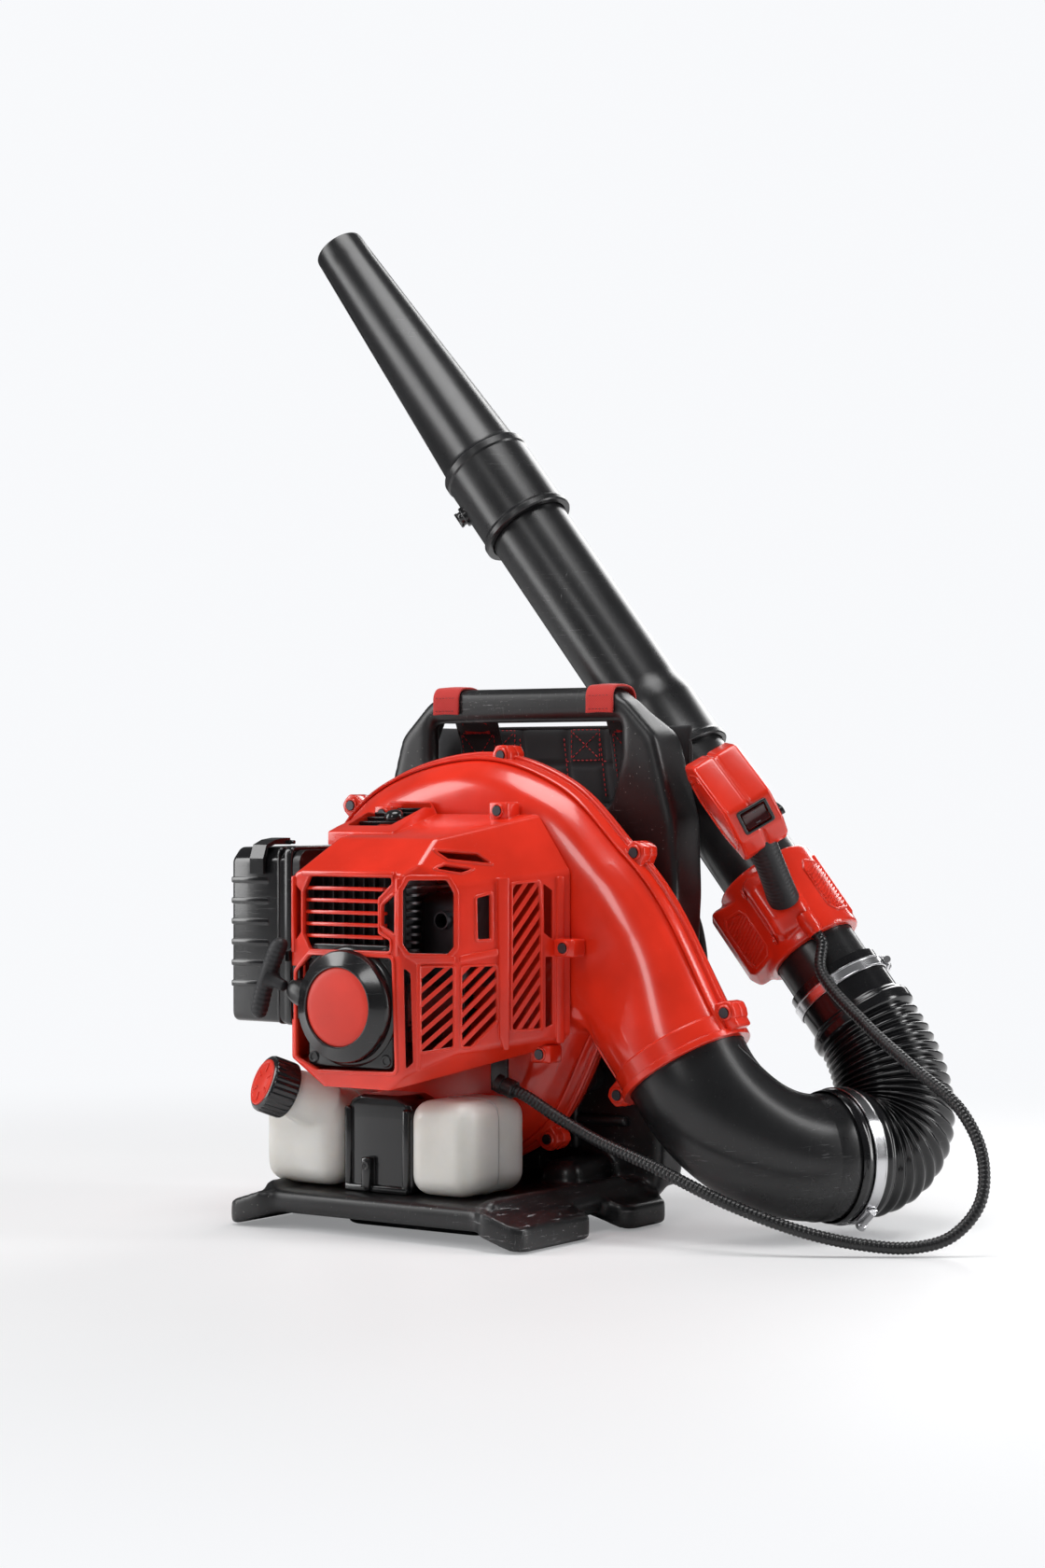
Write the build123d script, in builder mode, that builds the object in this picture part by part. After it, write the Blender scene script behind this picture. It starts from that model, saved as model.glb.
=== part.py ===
"""Backpack leaf blower with a two-stroke engine, one STEP file per piece.

Millimetres, +Z up. The origin is on the floor, in the middle of the base's belly pad.
-Y is the engine side, called the front here; +Y is the wearer's side, the rear.
+X is the blower tube's side, the right; -X is the left."""
import math
import os

from build123d import *

os.makedirs("parts", exist_ok=True)

# ---- driving dimensions ------------------------------------------------------------------
AXIS_X, AXIS_Z = -22.0, 204.0    # crankshaft and fan axis, which runs along Y
PARTING_Y = 50.0                 # parting plane of the fan housing
HALF_DEPTH = 45.0                # depth of each fan housing half
WALL = 3.0                       # housing wall
OUTLET_C = (217.0, PARTING_Y, 152.0)  # centre of the round air outlet
OUTLET_DIR = (0.545, 0.0, -0.8384)    # direction of the air outlet
OUTLET_R = 59.0                  # half width of the duct, which the outlet collar surrounds
ELBOW_R = 56.0                   # outside radius of the elbow
ELBOW_FIT_R = ELBOW_R + 0.4      # bore of the outlet collar
TUBE_R = 40.0                    # outside radius of the blower tube
TUBE_FIT_R = TUBE_R + 0.3        # bore of the parts that slide on the tube
TUBE_WALL = 2.5
TIP_R = 26.0                     # outside radius of the nozzle's end
HOSE_LOW = Vector(316, 146, 68)  # lower end of the flexible hose
HOSE_LOW_DIR = Vector(0.42, 0.9075, 0).normalized()
HOSE_TOP = Vector(290, 230, 190)  # upper end of the flexible hose
TUBE_DIR = Vector(-0.6228, 0, 0.7824).normalized()
TUBE_END = 972.0                 # distance from the hose to the nozzle's end
COLLAR_S = 115.0                 # middle of the handle collar along the tube
CYLINDER_Y = -46.0               # cylinder axis and middle of the con rod
CASE_TOP = AXIS_Z + 34           # top face of the crankcase
DECK_Z = CASE_TOP + 0.2          # foot of the cylinder
PORT_Z = 262.0                   # height of the intake and exhaust ports
CRANK_THROW = 16.5
ROD_LENGTH = 58.0                # between the con rod's eyes
PIN_Z = AXIS_Z + CRANK_THROW     # crank pin at top dead centre
WRIST_Z = PIN_Z + ROD_LENGTH     # wrist pin
SHAFT_R = 8.0
SHAFT_HOLE_R = SHAFT_R + 0.05
BEARING_R = 17.0
WRIST_R = 5.0
PISTON_R = 22.0
BORE_R = PISTON_R + 0.05
FRAME_Y0, FRAME_Y1 = 108.0, 128.0  # front and rear of the upright back plate
WING_Y = 160.0                   # how far the plate's side wings reach

CUT = Mode.SUBTRACT


# ---- planes ------------------------------------------------------------------------------
def across(y, x=0.0, z=0.0):
    """Plane across the crank axis: local x is X, local y is Z, and extrude goes towards -Y."""
    return Plane(origin=(x, y, z), x_dir=(1, 0, 0), z_dir=(0, -1, 0))


def side(x, y=0.0, z=0.0):
    """Plane facing +X: local x is Y, local y is Z."""
    return Plane(origin=(x, y, z), x_dir=(0, 1, 0), z_dir=(1, 0, 0))


def level(z, x=0.0, y=0.0):
    """Horizontal plane facing up."""
    return Plane(origin=(x, y, z), x_dir=(1, 0, 0), z_dir=(0, 0, 1))


def on_axis(y):
    """Plane across the crank axis, centred on it."""
    return across(y, AXIS_X, AXIS_Z)


def on_cylinder(z):
    """Horizontal plane centred on the cylinder's axis."""
    return level(z, AXIS_X, CYLINDER_Y)


def tube_plane(distance):
    """Plane across the blower tube, facing the nozzle, at a distance from the hose."""
    return Plane(origin=HOSE_TOP + TUBE_DIR * distance, x_dir=(0, -1, 0), z_dir=TUBE_DIR)


# ---- simple solids, added to or cut from the current part --------------------------------
def rod(plane, radius, length, mode=Mode.ADD):
    with BuildSketch(plane) as outline:
        Circle(radius)
    extrude(outline.sketch, amount=length, mode=mode)


def ring(plane, outer, inner, length):
    with BuildSketch(plane) as outline:
        Circle(outer)
        Circle(inner, mode=CUT)
    extrude(outline.sketch, amount=length)


def slab(plane, width, height, depth, corner=0.0, mode=Mode.ADD):
    """Block centred on the plane, with rounded corners if corner is given."""
    with BuildSketch(plane) as outline:
        if corner:
            RectangleRounded(width, height, corner)
        else:
            Rectangle(width, height)
    extrude(outline.sketch, amount=depth, mode=mode)


def disc(y0, y1, radius, mode=Mode.ADD, z=AXIS_Z):
    """Cylinder between two y values, on the crank axis or straight above it."""
    rod(across(max(y0, y1), AXIS_X, z), radius, abs(y1 - y0), mode)


def box(x0, x1, y0, y1, z0, z1, corner, mode=Mode.ADD):
    """Upright box between limits, with rounded vertical edges."""
    slab(level(z0, (x0 + x1) / 2, (y0 + y1) / 2), x1 - x0, y1 - y0, z1 - z0, corner, mode)


def polygon(points):
    """Draws a closed straight-sided face in the current sketch."""
    with BuildLine(mode=Mode.PRIVATE) as outline:
        Polyline(*points, close=True)
    make_face(outline.edges())


def with_mirror(points):
    """The points, then their mirror images in the Y-Z plane, in reverse order."""
    return points + [(-x, other) for x, other in reversed(points)]


def save(builder, name):
    builder.part.label = name
    export_step(builder.part, f"parts/{name}.step")


# ---- fan housing -------------------------------------------------------------------------
SCROLL_START = -11.0             # angle at which the scroll starts, in degrees
# angle on from the start, radius
SPIRAL = [(0, 153), (40, 152), (78, 156), (120, 170), (168, 190), (224, 208.5), (263, 221),
          (290, 227), (314, 229.5)]
OUTLET_ACROSS = (-OUTLET_DIR[2], OUTLET_DIR[0])     # across the outlet, in X and Z
DUCT_IN = tuple(OUTLET_C[i] - OUTLET_R * OUTLET_ACROSS[i // 2] for i in (0, 2))
DUCT_OUT = tuple(OUTLET_C[i] + OUTLET_R * OUTLET_ACROSS[i // 2] for i in (0, 2))
OUTLET_PLANE = Plane(origin=OUTLET_C, x_dir=(0, 1, 0), z_dir=OUTLET_DIR)

# screw bosses around the scroll: angle, radius
BOSS_POLAR = [(126.0, 217.0), (78.0, 227.0), (35.0, 235.0), (-52.0, 160.5), (-118.0, 178.0),
              (172.0, 199.0)]
BOSSES = [(AXIS_X + r * math.cos(math.radians(a)), AXIS_Z + r * math.sin(math.radians(a)))
          for a, r in BOSS_POLAR]
BOSSES += [(DUCT_OUT[0] - 2, DUCT_OUT[1] + 16), (DUCT_IN[0] - 15, DUCT_IN[1] + 2)]
BOSS_HEIGHT = 11.0

# distance from the parting plane, growth of the scroll outline
OUTSIDE = [(0, 0), (25, 0), (38, -7), (HALF_DEPTH, -20)]
INSIDE = [(0, -WALL), (25, -WALL), (36, -7 - WALL), (HALF_DEPTH - WALL, -22)]
HALF_GAP = 0.05                  # from the parting plane to each half


def scroll_face(growth=0.0, stretch=0.0):
    """Draws the scroll and its outlet duct; growth widens it, stretch lengthens the duct."""
    spiral = []
    for angle, radius in SPIRAL:
        turn = math.radians(SCROLL_START - angle)
        spiral.append((AXIS_X + (radius + growth) * math.cos(turn),
                       AXIS_Z + (radius + growth) * math.sin(turn)))
    shift_x, shift_z = stretch * OUTLET_DIR[0], stretch * OUTLET_DIR[2]
    grow_x, grow_z = growth * OUTLET_ACROSS[0], growth * OUTLET_ACROSS[1]
    outer = (DUCT_OUT[0] + grow_x + shift_x, DUCT_OUT[1] + grow_z + shift_z)
    inner = (DUCT_IN[0] - grow_x + shift_x, DUCT_IN[1] - grow_z + shift_z)
    with BuildLine(mode=Mode.PRIVATE) as outline:
        curve = Spline(*spiral)
        Line(curve @ 1, outer)
        Line(outer, inner)
        Line(inner, curve @ 0)
    make_face(outline.edges())


def scroll_body(steps, way, stretch, mode):
    """Stacks the scroll outline through the steps; way is 1 towards -Y, -1 towards +Y."""
    for (depth0, growth0), (depth1, growth1) in zip(steps, steps[1:]):
        with BuildSketch(across(PARTING_Y - way * depth0)) as low:
            scroll_face(growth0, stretch)
        with BuildSketch(across(PARTING_Y - way * depth1)) as high:
            scroll_face(growth1, stretch)
        if growth0 == growth1:
            extrude(low.sketch, amount=way * (depth1 - depth0), mode=mode)
        else:
            loft([low.sketch, high.sketch], mode=mode)


def boss_circles(y, radius, depth, mode=Mode.ADD):
    with BuildSketch(across(y)) as circles:
        with Locations(*BOSSES):
            Circle(radius)
    extrude(circles.sketch, amount=depth, mode=mode)


def housing_half(front):
    """One half of the fan housing, with its half of the outlet collar."""
    way = 1 if front else -1
    scroll_body(OUTSIDE, way, 0.0, Mode.ADD)
    with BuildSketch(across(PARTING_Y)) as flange:
        scroll_face(growth=5.0)
    extrude(flange.sketch, amount=way * 4)
    boss_circles(PARTING_Y, 8.5, way * BOSS_HEIGHT)
    scroll_body(INSIDE, way, -1.0, CUT)
    boss_circles(PARTING_Y, 2.6, way * (BOSS_HEIGHT + 1), CUT)
    if front:
        boss_circles(PARTING_Y - BOSS_HEIGHT, 5, 6, CUT)       # screw head seats
    ring(OUTLET_PLANE.offset(-16), OUTLET_R + WALL, ELBOW_FIT_R, 20)
    rod(OUTLET_PLANE.offset(-60), ELBOW_FIT_R, 70, CUT)
    split(bisect_by=Plane(origin=(0, PARTING_Y - way * HALF_GAP, 0), z_dir=(0, 1, 0)),
          keep=Keep.BOTTOM if front else Keep.TOP)


with BuildPart() as fan_housing_front:
    housing_half(True)
    rod(on_axis(PARTING_Y), 17.5, 60, CUT)                     # crankshaft opening
save(fan_housing_front, "fan_housing_front")

with BuildPart() as fan_housing_rear:
    housing_half(False)
    rod(on_axis(PARTING_Y), 76, -60, CUT)                      # air inlet
save(fan_housing_rear, "fan_housing_rear")

with BuildPart() as intake_guard:
    with BuildSketch(on_axis(PARTING_Y + HALF_DEPTH - 4)):
        for outer, inner in ((75.7, 69), (48, 45), (24, 21)):
            Circle(outer)
            Circle(inner, mode=CUT) if outer > 70 else None
            if outer < 70:
                Circle(inner, mode=CUT)
        with PolarLocations(0, 8):
            with Locations((36, 0)):
                Rectangle(73, 3)
    extrude(amount=-3.5)
save(intake_guard, "intake_guard")

with BuildPart() as housing_screws:
    for x, z in BOSSES:
        rod(across(PARTING_Y + 9, x, z), 2.2, 20.3)
        rod(across(PARTING_Y - 11.2, x, z), 4.5, 3)
save(housing_screws, "housing_screws")

# ---- fan ---------------------------------------------------------------------------------
FAN_R = 138.0
FAN_REAR_Y = 74.0

with BuildPart() as impeller:
    rod(on_axis(19), FAN_R, 3)                                 # back disc, on the engine side
    rod(on_axis(52), 17, 34)                                   # hub
    with BuildSketch(on_axis(FAN_REAR_Y)):
        with PolarLocations(0, 14, 8):
            with Locations(Location((99, 0), 18)):
                Rectangle(78, 2.4)
    extrude(amount=56)
    with BuildSketch(on_axis(FAN_REAR_Y)):
        Circle(FAN_R)
        Circle(92, mode=CUT)
    extrude(amount=2)
    rod(on_axis(80), SHAFT_HOLE_R, 80, CUT)
save(impeller, "impeller")

# ---- engine bottom end -------------------------------------------------------------------
CRANK_WEB_R = 27.0

with BuildPart() as crank_rear:
    disc(CYLINDER_Y + 6, CYLINDER_Y + 14, CRANK_WEB_R)
    disc(CYLINDER_Y + 14, 58, SHAFT_R)
    disc(52.2, 57, 11)
with BuildPart() as crank_front:
    disc(CYLINDER_Y - 14, CYLINDER_Y - 6, CRANK_WEB_R)
    disc(-114, CYLINDER_Y - 14, SHAFT_R)
with BuildPart() as crankshaft:
    add(crank_rear.part)
    add(crank_front.part)
save(crankshaft, "crankshaft")

with BuildPart() as crank_bearings:
    for y0, y1 in ((-28, -18), (-74, -64)):
        disc(y0, y1, BEARING_R)
        disc(y0, y1, SHAFT_HOLE_R, CUT)
save(crank_bearings, "crank_bearings")

with BuildPart() as crankcase:
    disc(-15, -77, 38)
    slab(on_cylinder(AXIS_Z), 64, 60, 34, 6)
    # mounting flange with four legs
    with BuildSketch(on_axis(4.7)):
        RectangleRounded(68, 68, 10)
        Circle(28, mode=CUT)
    extrude(amount=6)
    for degrees in (45, 135, 225, 315):
        angle = math.radians(degrees)
        rod(across(-1.3, AXIS_X + 38 * math.cos(angle), AXIS_Z + 38 * math.sin(angle)), 7, 30)
    disc(-15, 4.7, 30)
    split(bisect_by=Plane.XY.offset(CASE_TOP), keep=Keep.BOTTOM)
    # crank chamber, bearing pockets, shaft hole and cylinder opening
    disc(-31.5, -60.5, 29, CUT)
    disc(-17.9, -31.5, BEARING_R + 0.05, CUT)
    disc(-60.5, -74.1, BEARING_R + 0.05, CUT)
    disc(10, -90, 10, CUT)
    rod(on_cylinder(AXIS_Z + 8), 26, 40, CUT)
save(crankcase, "crankcase")

# ---- cylinder and what runs in it --------------------------------------------------------
FIN_W = 82.0                     # cooling fins, along X

with BuildPart() as cylinder:
    slab(on_cylinder(DECK_Z), 62, 58, 6, 6)
    rod(on_cylinder(DECK_Z), 29, 80)
    for k in range(10):
        slab(on_cylinder(DECK_Z + 13 + k * 7), FIN_W, 76, 2.2, 9)
    for sign in (-1, 1):                                       # ports
        port = side(AXIS_X + sign * FIN_W / 2, CYLINDER_Y, PORT_Z)
        slab(port, 40, 30, -sign * 18, 5)
        rod(port, 10, -sign * 24, CUT)
    rod(on_cylinder(DECK_Z - 1), BORE_R, 60, CUT)
    rod(on_cylinder(DECK_Z + 50), 4.6, 60, CUT)                # spark plug hole
save(cylinder, "cylinder")

with BuildPart() as piston:
    rod(on_cylinder(WRIST_Z - 13), PISTON_R, 30)
    rod(on_cylinder(WRIST_Z - 14), 18, 25, CUT)
    disc(CYLINDER_Y - 30, CYLINDER_Y + 30, WRIST_R + 0.03, CUT, WRIST_Z)
    for height in (7.5, 12):                                   # ring grooves
        with BuildSketch(on_cylinder(WRIST_Z + height)):
            Circle(24)
            Circle(19.5, mode=CUT)
        extrude(amount=1.6, mode=CUT)
save(piston, "piston")

with BuildPart() as piston_rings:
    for height in (7.6, 12.1):
        ring(on_cylinder(WRIST_Z + height), 22.02, 19.7, 1.4)
save(piston_rings, "piston_rings")

with BuildPart() as engine_pins:
    disc(CYLINDER_Y - 20, CYLINDER_Y + 20, WRIST_R, z=WRIST_Z)
    disc(CYLINDER_Y - 5.7, CYLINDER_Y + 5.7, 8, z=PIN_Z)
save(engine_pins, "engine_pins")

with BuildPart() as con_rod:
    with BuildSketch(across(CYLINDER_Y + 5, AXIS_X, PIN_Z)):
        Circle(11.5)
        with Locations((0, ROD_LENGTH)):
            Circle(8.5)
        with Locations((0, ROD_LENGTH / 2)):
            Rectangle(10, 50)
        Circle(8.03, mode=CUT)
        with Locations((0, ROD_LENGTH)):
            Circle(WRIST_R + 0.03, mode=CUT)
    extrude(amount=10)
save(con_rod, "con_rod")

# ---- ignition and exhaust ----------------------------------------------------------------
with BuildPart() as flywheel:
    disc(-98, -90, 42)
    disc(-99.5, -80, 15)
    with BuildSketch(on_axis(-84)):
        with PolarLocations(0, 14):
            with Locations((33, 0)):
                Rectangle(17, 2.2)
    extrude(amount=7)
    disc(-75, -120, SHAFT_HOLE_R, CUT)
save(flywheel, "flywheel")

with BuildPart() as ignition_coil:
    with BuildSketch(on_axis(-88)):
        with Locations((0, 63)):
            Rectangle(46, 20)
        with Locations((-17, 49), (17, 49)):
            Rectangle(9, 14)
        Circle(42.6, mode=CUT)                                 # clear of the flywheel
    extrude(amount=12)
save(ignition_coil, "ignition_coil")

with BuildPart() as spark_plug:
    rod(on_cylinder(DECK_Z + 61), 4.5, 20)
    with BuildSketch(on_cylinder(DECK_Z + 80.2)):
        RegularPolygon(10, 6)
    extrude(amount=9)
    rod(on_cylinder(DECK_Z + 89), 5.5, 16)
save(spark_plug, "spark_plug")

with BuildPart() as spark_plug_boot:
    ring(on_cylinder(DECK_Z + 92), 11, 5.8, 15)
    rod(on_cylinder(DECK_Z + 107), 11, 15)
    fillet(edges().group_by(Axis.Z)[-1], 6)
save(spark_plug_boot, "spark_plug_boot")

MUFFLER_FACE = side(25, -55, PORT_Z)     # left face of the muffler, towards the cylinder
OUTLET_PIPE_R = 6.5                      # bore of the exhaust outlet

with BuildPart() as muffler:
    slab(side(21.5, CYLINDER_Y, PORT_Z), 36, 26, 4, 5)
    slab(MUFFLER_FACE, 56, 84, 46, 12)
    fillet(faces().sort_by(Axis.X)[-1].edges(), 6)
    slab(MUFFLER_FACE, 52, 80, 43, 10, CUT)
    with BuildSketch(MUFFLER_FACE):
        RectangleRounded(56, 84, 12)
        with Locations((9, 0)):
            Circle(9, mode=CUT)
    extrude(amount=2)
    ring(across(-82, 52, 280), 8, OUTLET_PIPE_R, 9)
    rod(across(-70, 52, 280), OUTLET_PIPE_R, 30, CUT)
save(muffler, "muffler")

# ---- intake side -------------------------------------------------------------------------
FILTER_Y = -50.0                 # middle of the air filter
CHOKE_Y, CHOKE_Z = -84, 252      # choke lever pivot
PRIMER_X, PRIMER_Y, PRIMER_Z = -96, -69, 222
HINGE_X = -150                   # middle of the latch's hinge lug
HINGE_Y, HINGE_Z = -62, 346.5    # hinge pin

with BuildPart() as intake_insulator:
    with BuildSketch(side(-77.5, CYLINDER_Y, PORT_Z)):
        RectangleRounded(40, 34, 5)
        Circle(9, mode=CUT)
    extrude(amount=14)
save(intake_insulator, "intake_insulator")

with BuildPart() as carburetor:
    slab(side(-103, CYLINDER_Y, 260), 38, 40, 25, 4)
    rod(across(-65, -90, 262), 8, 5)
    rod(across(-65, -90, 248), 3, 9)
    rod(level(280, -90, CYLINDER_Y), 9, 6)
    rod(side(-110, CYLINDER_Y, PORT_Z), 8, 40, CUT)
save(carburetor, "carburetor")

with BuildPart() as air_filter_base:
    with BuildSketch(side(-112, FILTER_Y, PORT_Z)):
        RectangleRounded(90, 156, 12)
        with Locations((CYLINDER_Y - FILTER_Y, 0)):
            Circle(10, mode=CUT)
    extrude(amount=8)
    # bracket behind the primer bulb
    with BuildSketch(across(PRIMER_Y, PRIMER_X, PRIMER_Z)):
        Rectangle(19, 26)
        Circle(7.65, mode=CUT)
    extrude(amount=3)
    rod(side(-113, CHOKE_Y, CHOKE_Z), 2.55, 12, CUT)
save(air_filter_base, "air_filter_base")

with BuildPart() as air_filter_element:
    with BuildSketch(side(-160, FILTER_Y, PORT_Z)):
        RectangleRounded(76, 120, 8)
        with GridLocations(0, 10, 1, 11):                      # pleats
            with Locations((-38, 0), (38, 0)):
                Rectangle(8, 4, mode=CUT)
    extrude(amount=44)
save(air_filter_element, "air_filter_element")

with BuildPart() as air_filter_cover:
    slab(side(-186, FILTER_Y, PORT_Z), 92, 164, 73.5, 14)
    fillet(faces().sort_by(Axis.X)[0].edges(), 12)
    slab(side(-174, FILTER_Y, PORT_Z), 85, 157, 70, 10, CUT)
    slab(side(-182.5, FILTER_Y, PORT_Z), 69, 141, 9, 6, CUT)
    # forked lug for the latch
    slab(level(343.2, HINGE_X, HINGE_Y), 26, 24, 6)
    rod(side(-170, HINGE_Y, HINGE_Z), 1.8, 40, CUT)
    slab(level(344.2, HINGE_X, HINGE_Y), 17, 40, 6, mode=CUT)
save(air_filter_cover, "air_filter_cover")

# Y, Z
LATCH = [(-62, 344.4), (-84, 344.5), (-94, 341.5), (-97.5, 331), (-97.5, 318), (-101, 318),
         (-101, 332), (-96, 344.5), (-84, 349), (-70, 350.5), (-62, 350.5)]

with BuildPart() as filter_latch:
    with BuildSketch(side(-158)):
        polygon(LATCH)
        with Locations((HINGE_Y, HINGE_Z)):
            Circle(2.3)
    extrude(amount=16)
    rod(side(-163, HINGE_Y, HINGE_Z), 1.75, 26)
save(filter_latch, "filter_latch")

with BuildPart() as choke_lever:
    with BuildSketch(side(-97)):
        with Locations((CHOKE_Y, CHOKE_Z)):
            Circle(6.5)
        polygon([(-84, 257), (-112, 254), (-124, 250), (-124, 241), (-112, 244), (-84, 247)])
    extrude(amount=4)
    rod(side(-110, CHOKE_Y, CHOKE_Z), 2.5, 14)
save(choke_lever, "choke_lever")

with BuildPart() as primer_bulb:
    rod(across(PRIMER_Y, PRIMER_X, PRIMER_Z), 7.6, 6)
    rod(across(PRIMER_Y - 6, PRIMER_X, PRIMER_Z), 6.8, 8)
    fillet(faces().sort_by(Axis.Y)[0].edges(), 5)
save(primer_bulb, "primer_bulb")

# ---- engine cover ------------------------------------------------------------------------
COVER_FRONT, COVER_BACK = -130.0, 3.0
COVER_WALL = 2.6
CORNER_NORMAL = (31, -36, 0)     # front right corner
SIDE_POINT = (75, -99, 0)        # right side
SIDE_NORMAL = (87, -43, 0)
# the cover's flat faces: point on the face, outward normal
COVER_FACES = [
    ((0, -130, 321), (0, -31, 35)),            # brow
    ((0, -95, 352), (0, -20, 95)),             # top deck
    ((39, -130, 0), CORNER_NORMAL),
    (SIDE_POINT, SIDE_NORMAL),
    ((-86, 0, 0), (-1, 0, 0)),                 # left side
    ((-84, 0, 154), (-23, 0, -36)),            # lower left corner
    ((0, -130, 131), (0, 29, -110)),           # bottom
    ((75, -99, 165), (0.62, -0.22, -0.75)),    # lower right facet
    ((75, -99, 311), (3043, -1735, 2085)),     # upper right facet
    ((-86, 0, 335), (-0.75, -0.1, 0.65)),      # upper left facet
]
COVER_FEET = [(-70, 372), (60, 376), (131, 255), (106, 160)]   # X, Z
# openings in the front face: X, Z
STARTER_OPENING = [(-74, 168), (-56, 143), (30, 143), (34, 150), (34, 254), (-74, 254)]
GRILLE_OPENING = [(-70, 258), (26, 258), (30, 264), (18, 272), (18, 298), (34, 310), (30, 317),
                  (-70, 317), (-62, 300), (-62, 268)]
GRILLE_BAR_Z = (268, 279, 290, 301, 311)
# octagonal window in the front right corner: along the face, up from its middle
WINDOW = [(-21, -22), (-15, -31), (14, -32), (20, -26), (20, 20), (13, 29), (-16, 30),
          (-21, 22)]
WINDOW_C = Vector(57, -114.5, 280)
SCOOP = [(-66, -72), (-10, -78), (-4, -30), (-52, -16)]        # X, Y


def cover_solid(inset, back):
    """The faceted block of the cover, with its faces moved in by inset."""
    slab(level(110, 20, (back + COVER_FRONT + inset) / 2), 400, back - COVER_FRONT - inset, 290)
    for point, direction in COVER_FACES:
        normal = Vector(*direction).normalized()
        split(bisect_by=Plane(origin=Vector(*point) - normal * inset, z_dir=normal),
              keep=Keep.BOTTOM)


with BuildPart() as cover_inner:
    cover_solid(COVER_WALL, 40.0)

with BuildPart() as engine_cover:
    cover_solid(0.0, COVER_BACK)
    add(cover_inner.part, mode=CUT)
    # starter opening and grille in the front face
    with BuildSketch(across(COVER_FRONT + 6)):
        polygon(STARTER_OPENING)
        polygon(GRILLE_OPENING)
    extrude(amount=20, mode=CUT)
    for z in GRILLE_BAR_Z:
        slab(across(COVER_FRONT + 10, -22, z), 100, 3.4, 8)
    split(bisect_by=Plane(origin=(0, COVER_FRONT, 0), z_dir=(0, 1, 0)), keep=Keep.TOP)
    # left side: room for the rope guide and the intake
    slab(across(-112, -76, 214), 32, 48, 24, mode=CUT)
    slab(side(-92, -33, 260), 84, 58, 14, mode=CUT)
    corner_normal = Vector(*CORNER_NORMAL).normalized()
    with BuildSketch(Plane(origin=WINDOW_C + corner_normal * 6, x_dir=(36, 31, 0),
                           z_dir=corner_normal)):
        polygon(WINDOW)
    extrude(amount=-14, mode=CUT)
    # louvres and upright slots in the right side
    side_normal = Vector(*SIDE_NORMAL).normalized()
    right_side = Plane(origin=Vector(*SIDE_POINT) + side_normal * 5, x_dir=(43, 87, 0),
                       z_dir=side_normal)
    with BuildSketch(right_side):
        for k in range(11):
            with Locations(Location((68, 190 + k * 11), 48)):
                SlotOverall(26, 4.6)
        with Locations((92, 225)):
            Rectangle(7, 66)
        with Locations((92, 295)):
            Rectangle(7, 40)
        with Locations((34, 285)):
            Rectangle(11, 40)
    extrude(amount=-12, mode=CUT)
    with BuildSketch(right_side):
        for k in range(7):
            with Locations(Location((26, 182 + k * 9.5), 40)):
                SlotOverall(34 if 0 < k < 6 else 20, 4.4)
    extrude(amount=-12, mode=CUT)
    # opening above the spark plug
    with BuildSketch(level(345)):
        polygon(SCOOP)
    extrude(amount=60, mode=CUT)
    # feet for the cover screws
    for x, z in COVER_FEET:
        with BuildSketch(across(4.8, x, z)):
            RectangleRounded(22, 16, 3)
            Circle(2.7, mode=CUT)
        extrude(amount=20)
save(engine_cover, "engine_cover")

with BuildPart() as cover_screws:
    for x, z in COVER_FEET:
        rod(across(4.6, x, z), 2.4, 20.4)
        rod(across(-15.4, x, z), 4.4, 3)
save(cover_screws, "cover_screws")

# ---- recoil starter ----------------------------------------------------------------------
ROPE_DIR = Vector(-0.93, 0, 0.37).normalized()                 # direction of the pull
ROPE_GUIDE_C = Vector(AXIS_X - 44, -134, AXIS_Z + 6)
PULL = Plane(origin=ROPE_GUIDE_C, x_dir=(0, 1, 0), z_dir=ROPE_DIR)
SPRING_Y = -134.2                # rear edge of the recoil spring
SPRING_W = 4.4

with BuildPart() as starter_housing:
    slab(on_axis(-102), 96, 111, 24, 8)
    rod(on_axis(-126), 49, 8)
    with BuildSketch(on_axis(-134)):
        Circle(49)
    extrude(amount=11, taper=38)
    rod(on_axis(-145), 35, -2, CUT)
    # rope guide on the left
    with BuildSketch(PULL):
        Circle(13)
    extrude(amount=24, taper=18)
    # room for the pulley and the spring, then the rope hole
    rod(on_axis(-100), 41, 36, CUT)
    rod(on_axis(-130), 32, 9, CUT)
    rod(Plane(origin=(AXIS_X - 30, -134, AXIS_Z + 0.5), x_dir=(0, 1, 0), z_dir=ROPE_DIR),
        3.4, 70, CUT)
save(starter_housing, "starter_housing")

with BuildPart() as starter_pulley:
    disc(-118, -123, 31)
    disc(-128, -133, 31)
    disc(-118, -133, 24)
    disc(-100, -118, 22)
    disc(-100, -116, 18.5, CUT)
    disc(-90, -140, 6, CUT)
save(starter_pulley, "starter_pulley")

with BuildPart() as starter_rope:
    with BuildSketch(level(AXIS_Z, AXIS_X + 26, -125.5)):
        Circle(1.6)
    revolve(axis=Axis((AXIS_X, 0, AXIS_Z), (0, 1, 0)), revolution_arc=360)
save(starter_rope, "starter_rope")

with BuildPart() as recoil_spring:
    disc(SPRING_Y, SPRING_Y - SPRING_W, 22)
    disc(SPRING_Y, SPRING_Y - SPRING_W, 19.5, CUT)
    for radius in (17.5, 13.5, 9.5):                           # turns
        ring(on_axis(SPRING_Y), radius, radius - 1.2, SPRING_W)
    slab(across(SPRING_Y, AXIS_X + 14, AXIS_Z), 12, 1.2, SPRING_W)   # bar joining them
save(recoil_spring, "recoil_spring")

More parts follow.
